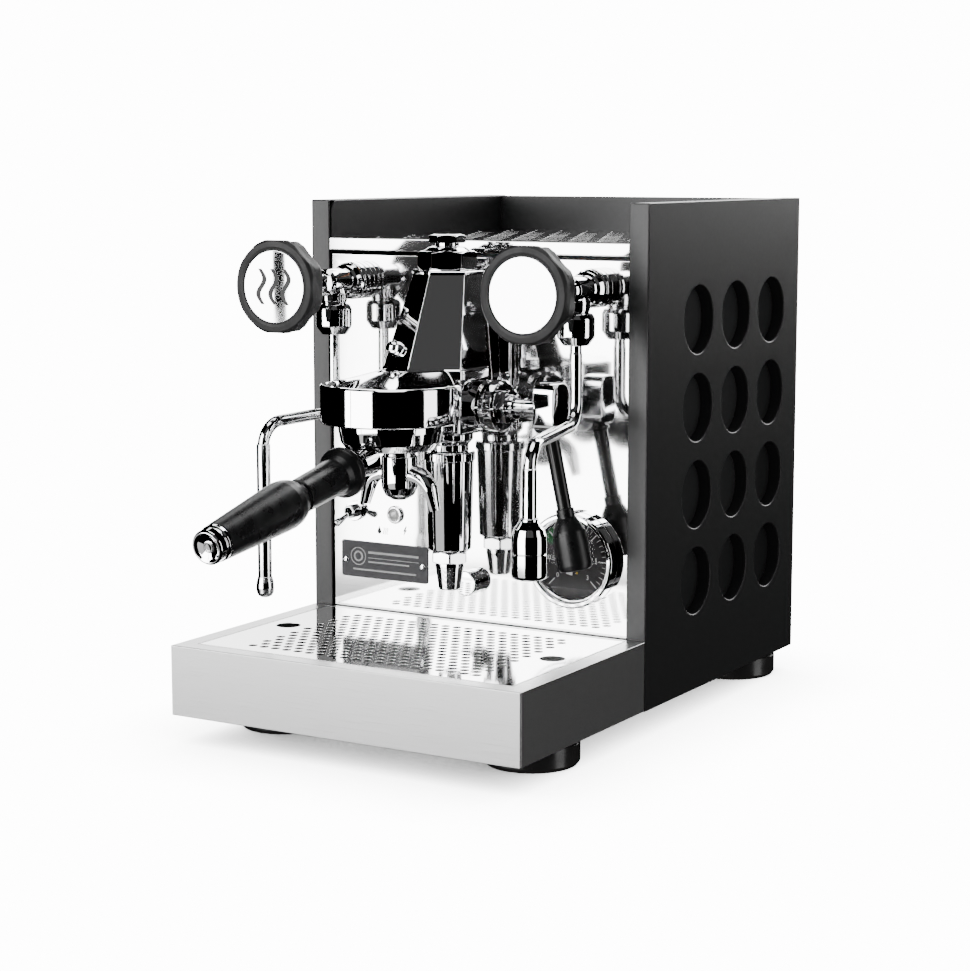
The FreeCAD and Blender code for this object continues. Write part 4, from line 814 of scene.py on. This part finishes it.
def tap(name):
    """Valve body with its gland and drop, spindle, knob and the polished disc in the knob."""
    knob = centre(name + "_knob")
    place = at((knob.x, start_of("union_nuts", "-y").y, knob.z), "-y")
    nut_top = high("ball_joint_nuts").z
    barrel = [(6.6, -14), (6.6, 8), (9.4, 8), (9.4, 41.6), (8.2, 43, 0.6), (7.4, 44.4, 0.6), (7.4, 52.6, 0.6),
              (6.2, 54), (4.05, 54), (4.05, 44)]
    packing = [(4.1, 46.4), (8.6, 46.4), (9.6, 47.2), (9.6, 51.2), (8.4, 52), (4.1, 52)]
    drop = [(0, nut_top), (8.4, nut_top, 0.4), (9.3, nut_top + 2, 1.2), (9.5, nut_top + 7, 4),
            (8, nut_top + 13)]
    stand_in(name + "_valve_body", [
        spun(barrel, place, 0.5), hexed(packing, 8.3, 9.5, place),
        spun(drop, at((knob.x, centre(name + "_wand_seat").y, 0)), 0.8)], CHROME, 30)
    turned(name + "_spindle", [(0, 0), (4, 0), (4, 41.4, 0.4), (5.4, 42.4, 0.4), (5.4, 70), (0, 70)],
           CHROME, "-y")
    depth = high(name + "_knob").y - low(name + "_knob").y
    back = [(5.4, 0.6), (9, 0), (15, 0.2, 2), (25, 2.2, 3), (31, 6.5, 2), (32.4, 9, 1.2), (32.4, depth - 6.4),
            (30, depth - 5.4, 0.6), (27, depth - 5)]
    front = [(27, depth - 6.6), (31.4, depth - 6.4, 0.8), (32.4, depth - 5.4, 0.8), (32.2, depth - 2.4, 1),
             (30.6, depth - 0.3, 1.2), (27, depth, 0.8), (25.3, depth - 0.4, 0.4), (24.95, depth - 1),
             (24.95, depth - 2.4), (5.4, depth - 2.4)]
    place = at(start_of(name + "_knob", "-y"), "-y")
    shapes = [placed(lathe(dense(soften(profile, edge, 6), 0.6), 192, limit), place)
              for profile, edge, limit in ((back, 0.8, scalloped), (front, 0.5, octagon))]
    stand_in(name + "_knob", shapes, KNOB_PLASTIC, 40)
    disc = [(0, 0), (24.6, 0), (24.8, 0.3, 0.2), (24.8, 1.4, 0.4), (24.2, 1.95, 0.5), (16, 2.12, 8), (0, 2.2)]
    place = at(start_of(name + "_knob_disc", "-y"), "-y")
    stand_in(name + "_knob_disc", [spun(disc, place, 0.3, 192, 5)], CHROME, 40)
    keep(name + "_wand_seat", RUBBER, 0)


def tap_mark():
    """Three rising waves of steam, printed on the left tap's disc."""
    disc = "steam_knob_disc"
    place = at((centre(disc).x, low(disc).y + 0.02, centre(disc).z), "-y")
    shares = [-1 + i / 16 for i in range(33)]
    waves = [ribbon([(k * 10 + 2.6 * math.sin(t * math.pi * 1.15), t * 12, 2.1 * (1 - 0.35 * abs(t)))
                     for t in shares]) for k in (-1, 0, 1)]
    piece("steam_knob_mark", [placed(wave, place) for wave in waves], MARK_PRINT, disc)


def nuts():
    """The round dress nuts of both taps and the hexagon nuts of both ball joints."""
    lo, hi, z = low("union_nuts"), high("union_nuts"), centre("union_nuts").z
    radius = (hi.z - lo.z) / 2
    profile = [(9.6, 0), (13, 0), (13.2, 0.6), (13.2, 4.8, 0.7), (12.2, 5.8, 0.5), (13.2, 6.8, 0.7),
               (13.2, 10.8, 0.7), (12.2, 11.8, 0.5), (13, 12.8, 0.8), (12.8, 16, 2.5), (11.4, 19.2, 1.6),
               (9.6, 20.4)]
    stand_in("union_nuts", [spun(profile, at((x, hi.y, z), "-y"), 0.4, 128, 5)
                            for x in (lo.x + radius, hi.x - radius)], CHROME, 40)
    lo, hi = span("ball_joint_nuts")
    height = hi.z - lo.z
    profile = [(6.8, 5), (6.8, 0.3, 0.3), (8.4, 0, 0.5), (12.5, 5.6, 0.5), (12.7, 6.4, 0.3),
               (12.7, height - 4), (11, height - 0.8, 0.5), (8.8, height), (8.8, height - 8)]
    spots = [(side * centre("water_knob").x, (lo.y + hi.y) / 2, lo.z) for side in (-1, 1)]
    stand_in("ball_joint_nuts", [hexed(profile, (hi.y - lo.y) / 2, 12.6, at(p), 0.4) for p in spots],
             CHROME, 30)


def wand(name, leg_node, knee_z, leg_z, bends, tube, sleeve):
    """Bent tube with its ball, the narrow neck that leaves the nut and the sleeve on its leg."""
    ball_z, start_z = 282, 262
    ball, leg = centre(name + "_seat"), centre(leg_node)
    end_z = high(leg_node).z
    path = bent_path([(ball.x, ball.y, start_z), (ball.x, ball.y, knee_z), (leg.x, leg.y, leg_z),
                      (leg.x, leg.y, end_z)], bends, 3)
    upper = [(0, 6.5), (2.6, 6), (4.8, 4.4), (6.2, 1.9), (6.5, 0), (6.2, -1.9), (5, -4.2), (3.9, -5.6, 0.6),
             (3.9, -18.4, 0.3), (tube, -20.2), (tube, -21)]
    cover = [(tube - 0.2, 0), (sleeve, 0), (sleeve, leg_z - 14.4 - end_z, 0.3),
             (tube - 0.2, leg_z - 14 - end_z)]
    shapes = [sweep(path, ring(0, 0, tube, 48)), spun(upper, at((ball.x, ball.y, ball_z)), 1.2, 64),
              spun(cover, at((leg.x, leg.y, end_z)), 0.2, 64)]
    stand_in(name, shapes, TUBE, 40)


def wands():
    """Both wands with the tips on their ends."""
    wand("steam_wand", "steam_tip", 213.7, 211.2, [13, 17], 4, 4.75)
    wand("water_wand", "water_nozzle", 216.2, 213.4, [16, 18], 4.3, 4.7)
    tip = [(0, 0.3), (1, 0.4, 0.2), (2.6, 0.1, 0.6), (4.6, 1.2, 1.2), (5.8, 3.4, 1.5), (6.2, 6.4, 2),
           (5.95, 10.4, 2), (5.2, 13.2, 0.8), (5, 14.5), (0, 14.5)]
    turned("steam_tip", tip, TUBE, edge=0.5)
    nozzle = [(0, 4.4), (7.6, 4.4, 0.3), (7.6, 0.5, 0.4), (9, 0, 0.6), (10.6, 0.9, 0.8), (11.2, 2.6, 1),
              (11.2, 15.9, 0.2), (10.85, 16.3, 0.1), (10.85, 16.7, 0.1), (11.2, 17.1, 0.2), (11.2, 24.6, 3),
              (10.9, 28, 3), (9.6, 32, 3), (7.2, 35, 2), (5.8, 37, 0.8), (5.8, 38.5), (0, 38.5)]
    turned("water_nozzle", nozzle, CHROME, edge=0.5)


# ---------- instruments

def power_switch():
    """Toggle switch: nut, threaded sleeve and the case behind the panel, and the bat lever."""
    box_y = high("backsplash").y - 1.5
    x, z = centre("switch_bushing").x, centre("pilot_lens").z + 0.4
    place = at((x, box_y, z), "-y")
    nut = hexed([(3.8, 0), (7, 0, 0.3), (7.7, 0.6), (7.7, 2.8), (7, 3.4, 0.3), (3.8, 3.4)], 6.7, 7.6, place,
                0.2, 0.2)
    thread = [(radius, base + i * 0.62, 0) for i in range(9) for radius, base in ((4.7, 3.2), (4.35, 3.5))]
    sleeve = spun([(3.6, -3), *thread, (4.6, 9.2), (4.0, 9.9), (3.3, 9.9), (3.3, 2)], place, 0.3, 72)
    case = block((x - 7, box_y + 12, z - 9), (x + 7, box_y + 27, z + 9), 0.8)
    stand_in("switch_bushing", [nut, sleeve, case], CHROME, 30)
    tilt = Matrix.Rotation(math.radians(90 + 19), 3, "X")
    bat = [(0, -3), (1.2, -3), (1.2, 2, 0.5), (1.45, 3.2, 0.5), (1.7, 8, 3), (2.6, 16, 2), (2.5, 18.6, 1),
           (1.7, 20, 0.8), (0, 20.2)]
    stand_in("switch_lever", [spun(bat, at((x, box_y - 7, z), tilt), 0.4, 48, 5)], CHROME, 40)


def pilot_lamp():
    """Bezel and domed lens of the pilot lamp."""
    bezel = [(4.3, 0), (6.3, 0), (6.5, 0.3, 0.2), (6.5, 1.3, 0.4), (5.7, 2.6, 0.6), (4.9, 2.8, 0.4),
             (4.3, 2.2), (4.3, 0.5)]
    turned("pilot_bezel", bezel, CHROME, "-y")
    lens = [(0, 0), (3.9, 0), (3.9, 10), (4.2, 10.2), (4.2, 11.4, 0.4), (3.6, 12.6, 1), (2, 13.4, 1),
            (0, 13.6)]
    turned("pilot_lens", lens, LENS, "-y")


def front_plate():
    """Blank plate with a generic ring and rules, and its two screws."""
    lo, hi = span("badge_plate")
    plate = slab(rectangle(0, 0, hi.x - lo.x, hi.z - lo.z, 2), [], hi.y - lo.y, 0.25)
    stand_in("badge_plate", [placed(plate, at((lo.x, hi.y, lo.z), "-y"))], PLATE_PRINT)
    rings = [(6.6, 5.9), (3.9, 2.7)]
    rules = [(23, 18, 66, 19.6), (23, 14.6, 66, 15), (23, 11.4, 58, 12.4), (10, 5.2, 64, 6.4)]
    marks = [(ring(14.5, 15.4, outer, 64), [ring(14.5, 15.4, inner, 64)]) for outer, inner in rings]
    marks += [(rectangle(*rule), []) for rule in rules]
    face = at((lo.x, lo.y + 0.02, lo.z), "-y")
    piece("badge_marks", [placed(slab(outline, holes, 0.12, 0.02), face) for outline, holes in marks],
          WHITE_PRINT, "badge_plate")
    lo, hi, z = low("casing_screws"), high("casing_screws"), centre("casing_screws").z
    head = [(0, 0), (2.4, 0), (2.6, 0.4), (2.2, 1.2, 0.5), (1.2, 1.7, 0.4), (0.9, 1.75, 0.05),
            (0.85, 1.1, 0.05), (0, 1.1)]
    stand_in("casing_screws", [spun(head, at((x, hi.y, z), "-y"), 0.2, 48) for x in (lo.x + 2.6, hi.x - 2.6)],
             CHROME, 30)


def panel_symbols():
    """Printed beside the lamp: a drop, three small waves and a lightning bolt."""
    splash = low("backsplash").y
    drop = [(0, 3.6), (0.9, 1.6), (1.5, 0.2), (1.55, -0.8), (1.1, -1.8), (0, -2.2), (-1.1, -1.8),
            (-1.55, -0.8), (-1.5, 0.2), (-0.9, 1.6)]
    bolt = [(0.6, 3.4), (1.5, 3.4), (0.3, 0.5), (1.6, 0.9), (-1.2, -3.4), (-0.5, -0.3), (-1.6, -0.5)]
    wave = ribbon([(0.5 * math.sin(t * math.pi), t * 2.4, 0.22) for t in [-1 + i / 6 for i in range(13)]])
    symbols = [(slab(drop, [], 0.1, 0.01), -80.4, 124.7), (slab(bolt, [], 0.1, 0.01), -58.5, 126.3)]
    symbols += [(wave, -76.6 + 1.5 * k, 124.9) for k in range(3)]
    piece("panel_symbols", [placed(shape, at((x, splash, z), "-y")) for shape, x, z in symbols],
          ICON_PRINT, "backsplash")


def numeral(text, x, y, height):
    """A small printed numeral, as a flat shape in the dial's plane."""
    curve = bpy.data.curves.new("numeral", "FONT")
    curve.body = text
    curve.size = height
    curve.align_x = "CENTER"
    curve.align_y = "CENTER"
    verts, faces = from_curve(curve)
    return [(vx + x, vy + y, 0.0) for vx, vy, _ in verts], faces


def gauge():
    """Pressure gauge: bright case, printed dial, white needle and its flat glass."""
    x, y, z = centre("gauge_dial").x, low("backsplash").y, centre("gauge_dial").z
    face = at((x, y, z), "-y")
    case = [(0, -20), (28.4, -20, 0.6), (28.6, -19), (28.6, 0), (32.5, 0), (33, 0.8), (33, 9, 1),
            (31.8, 10.4, 0.7), (29.8, 10.4), (29, 9.6, 0.5), (29, 6.3, 0.2), (27.8, 6.3, 0.2), (27.8, -18),
            (0, -18)]
    stub = spun([(0, -34), (5, -34), (5, -20), (0, -20)], face, 0.3, 48)
    stand_in("gauge_case", [spun(case, face, 0.4, 192, 6), stub], CHROME, 40)
    dial = [(0.9, 2.4), (27.5, 2.4), (27.6, 2.6), (27.6, 3.2), (27.5, 3.4), (0.9, 3.4)]
    stand_in("gauge_dial", [spun(dial, face, 0.1, 160)], DIAL)
    dial_marks(at((x, y - 3.42, z), "-y"), at((x, y - 3.43, z), "-y"))
    needle = slab(soften([(-1.1, 0), (-0.3, 21), (0.3, 21), (1.1, 0), (2.5, -10.6), (-2.5, -10.6)], 0.2, 2,
                         True),
                  [], 0.7, 0.12)
    hub = [(0, -4), (0.8, -4), (0.8, 0), (3.2, 0), (3.2, 0.6, 0.3), (2.4, 0.9), (0, 0.9)]
    pivot = (x, y - 3.9, z)
    stand_in("gauge_needle", [placed(needle, at(pivot, "-y", -12)), spun(hub, at(pivot, "-y"), 0.2, 48)],
             WHITE_PRINT)
    glass = [(0, 6.4), (28.8, 6.4, 0.2), (28.9, 6.6), (28.9, 7.2), (28.7, 7.4, 0.2), (0, 7.4)]
    stand_in("gauge_glass", [spun(glass, face, 0.1, 160)], GLASS)


def dial_marks(on_dial, above):
    """Scale lines and numbers, the green working zone and two small yellow dots."""
    first, last, steps = 225, -45, 30
    marks = []
    for i in range(steps + 1):
        angle = math.radians(first + (last - first) * i / steps)
        inner, half = (19.6, 0.34) if i % 5 == 0 else (22.9, 0.2)
        along = Vector((math.cos(angle), math.sin(angle)))
        across = Vector((-along.y, along.x)) * half
        corners = [along * 26 + across, along * 26 - across, along * inner - across, along * inner + across]
        marks.append(([(c.x, c.y, 0) for c in corners], [[0, 1, 2, 3]]))
    for i, text in enumerate(("0", "0.5", "1", "1.5", "2", "2.5", "3")):
        angle = math.radians(first + (last - first) * i / 6)
        marks.append(numeral(text, 16.4 * math.cos(angle), 16.4 * math.sin(angle), 4.6))
    piece("dial_marks", [placed(m, above) for m in marks], WHITE_PRINT, "gauge_dial")
    arc = [math.radians(150 - 32 * i / 20) for i in range(21)]
    verts = [(r * math.cos(a), r * math.sin(a), 0) for a in arc for r in (18.4, 26.6)]
    faces = [[2 * i, 2 * i + 1, 2 * i + 3, 2 * i + 2] for i in range(20)]
    piece("dial_green_zone", [placed((verts, faces), on_dial)], GREEN_PRINT, "gauge_dial")
    dots = [([(px, py, 0) for px, py in ring(x, -9, 0.8, 16)], [list(range(16))]) for x in (-3.4, 3.4)]
    piece("dial_yellow_dots", [placed(d, on_dial) for d in dots], YELLOW_PRINT, "gauge_dial")


def service_cap():
    """Round grooved cap on its stem, under the valve column."""
    profile = [(0, 0), (4.8, 0), (4.8, 8), (8.4, 8), (8.6, 8.3, 0.2), (8.6, 11.6, 0.4), (7.9, 12.2, 0.3),
               (8.6, 12.8, 0.4), (8.6, 15.2, 0.4), (7.9, 15.9, 0.3), (8.9, 16.6, 0.4), (8.9, 18.2, 0.5),
               (8.2, 19, 0.4), (7.2, 19.1, 0.3), (0, 19)]
    turned("service_cap", profile, CHROME, "-y")


def inside():
    """Pieces inside the casing and in the brew head, shown as the CAD made them."""
    for node, material, edge in (
            ("boiler", COPPER, 0.5), ("heating_element", CHROME, 0.3), ("pump", DARK_SHEET, 0.5),
            ("water_tank", TANK, 0.6), ("mains_inlet", BLACK_PLASTIC, 0.3), ("group_gasket", RUBBER, 0.2),
            ("shower_screen", BRUSHED, 0)):
        keep(node, material, edge)


# ---------- studio

PAPER_GLOW = 14     # bright enough to come out white in the render


def paper(name, glow):
    """White paper that gives light and mirrors none."""
    material = bpy.data.materials.new(name)
    material.use_nodes = True
    inputs = material.node_tree.nodes["Principled BSDF"].inputs
    inputs["Base Color"].default_value = (0, 0, 0, 1)
    inputs["Roughness"].default_value = 0.7
    inputs["Specular IOR Level"].default_value = 0
    inputs["Emission Color"].default_value = (1, 1, 1, 1)
    inputs["Emission Strength"].default_value = glow
    return material


def floor_paper():
    """White floor with a painted contact shadow: ambient occlusion darkens its glow a little close to the
    feet.
    """
    material = paper("floor_paper", PAPER_GLOW)
    tree = material.node_tree
    shade = tree.nodes.new("ShaderNodeAmbientOcclusion")
    shade.samples = 8
    shade.inputs["Distance"].default_value = 0.09
    # painted contact shadow: the floor's glow is scaled by ambient occlusion, so it is darker where the
    # machine is near
    tree.links.new(shade.outputs["Color"], tree.nodes["Principled BSDF"].inputs["Emission Color"])
    return material


def stage_mesh(name, verts, faces, material, camera=False, glossy=False):
    """Part of the studio, seen by the camera only or in reflections only."""
    mesh = bpy.data.meshes.new(name)
    mesh.from_pydata(verts, [], faces)
    mesh.materials.append(material)
    obj = bpy.data.objects.new(name, mesh)
    bpy.context.scene.collection.objects.link(obj)
    obj.visible_camera = camera
    obj.visible_glossy = glossy
    obj.visible_diffuse = False
    obj.visible_transmission = False
    obj.visible_volume_scatter = False
    obj.visible_shadow = False
    return obj


def dome(start, end, low_angle, high_angle, distance, across, up):
    """Part of a sphere round the object, between two compass angles and two heights."""
    verts = []
    for j in range(up + 1):
        rise = math.radians(low_angle + (high_angle - low_angle) * j / up)
        for i in range(across + 1):
            turn = math.radians(start + (end - start) * i / across)
            verts.append((distance * math.sin(turn) * math.cos(rise),
                          -distance * math.cos(turn) * math.cos(rise), distance * math.sin(rise)))
    row = across + 1
    return verts, [[j * row + i, j * row + i + 1, (j + 1) * row + i + 1, (j + 1) * row + i]
                   for j in range(up) for i in range(across)]


def card(name, start, end, low_angle, high_angle, glow):
    """A curved white card, seen in reflections only."""
    far = 30.0
    across = max(2, int(abs(end - start) / 4))
    up = max(2, int(abs(high_angle - low_angle) / 8))
    stage_mesh(name, *dome(start, end, low_angle, high_angle, far, across, up), paper(name, glow),
               glossy=True)


def studio():
    """Floor and backdrop for the camera, cards for the reflections, and soft light from all round."""
    reach = 7
    corners = [(-reach, -reach, 0), (reach, -reach, 0), (reach, reach, 0), (-reach, reach, 0)]
    floor = stage_mesh("floor", corners, [[0, 1, 2, 3]], floor_paper(), camera=True)
    floor.location.z = -0.0002
    stage_mesh("backdrop", *dome(0, 360, -4, 90, reach, 48, 12), paper("backdrop_paper", PAPER_GLOW),
               camera=True)

    world = bpy.data.worlds.new("studio")
    bpy.context.scene.world = world
    world.use_nodes = True
    world.node_tree.nodes["Background"].inputs["Color"].default_value = (1, 1, 1, 1)
    world.node_tree.nodes["Background"].inputs["Strength"].default_value = 0.6
    world.cycles_visibility.glossy = False

    # compass angles from the front, positive to the right; then heights; then glow
    card("card_front_left", -46, -36, -10, 38, 14)
    card("card_front", -34.7, 2, -10, 38, 14)
    card("card_front_low", -45, 2, -40, -10, 0.8)
    card("card_right", 88, 112, -25, 30, 5)
    card("card_behind", 158, 192, 2, 55, 12)
    card("card_back", 198, 223, -5, 40, 5)
    card("card_above", -180, 180, 70, 89, 5)
    card("card_high_right", 10, 60, 15, 60, 0.07)

    camera = bpy.data.cameras.new("camera")
    camera.lens = 83.95
    camera.sensor_width = 36
    camera.clip_end = 50
    view = bpy.data.objects.new("camera", camera)
    view.location = (0.8046, -1.317, 0.3898)
    view.rotation_euler = (math.radians(90 - 8.208), 0, math.radians(30.613))
    bpy.context.scene.collection.objects.link(view)
    bpy.context.scene.camera = view


casing()
drip_tray()
drip_grate()
group_body()
group_nuts()
valve_column()
lever()
portafilter()
nuts()
tap("steam")
tap("water")
tap_mark()
wands()
power_switch()
pilot_lamp()
front_plate()
panel_symbols()
gauge()
service_cap()
inside()
studio()
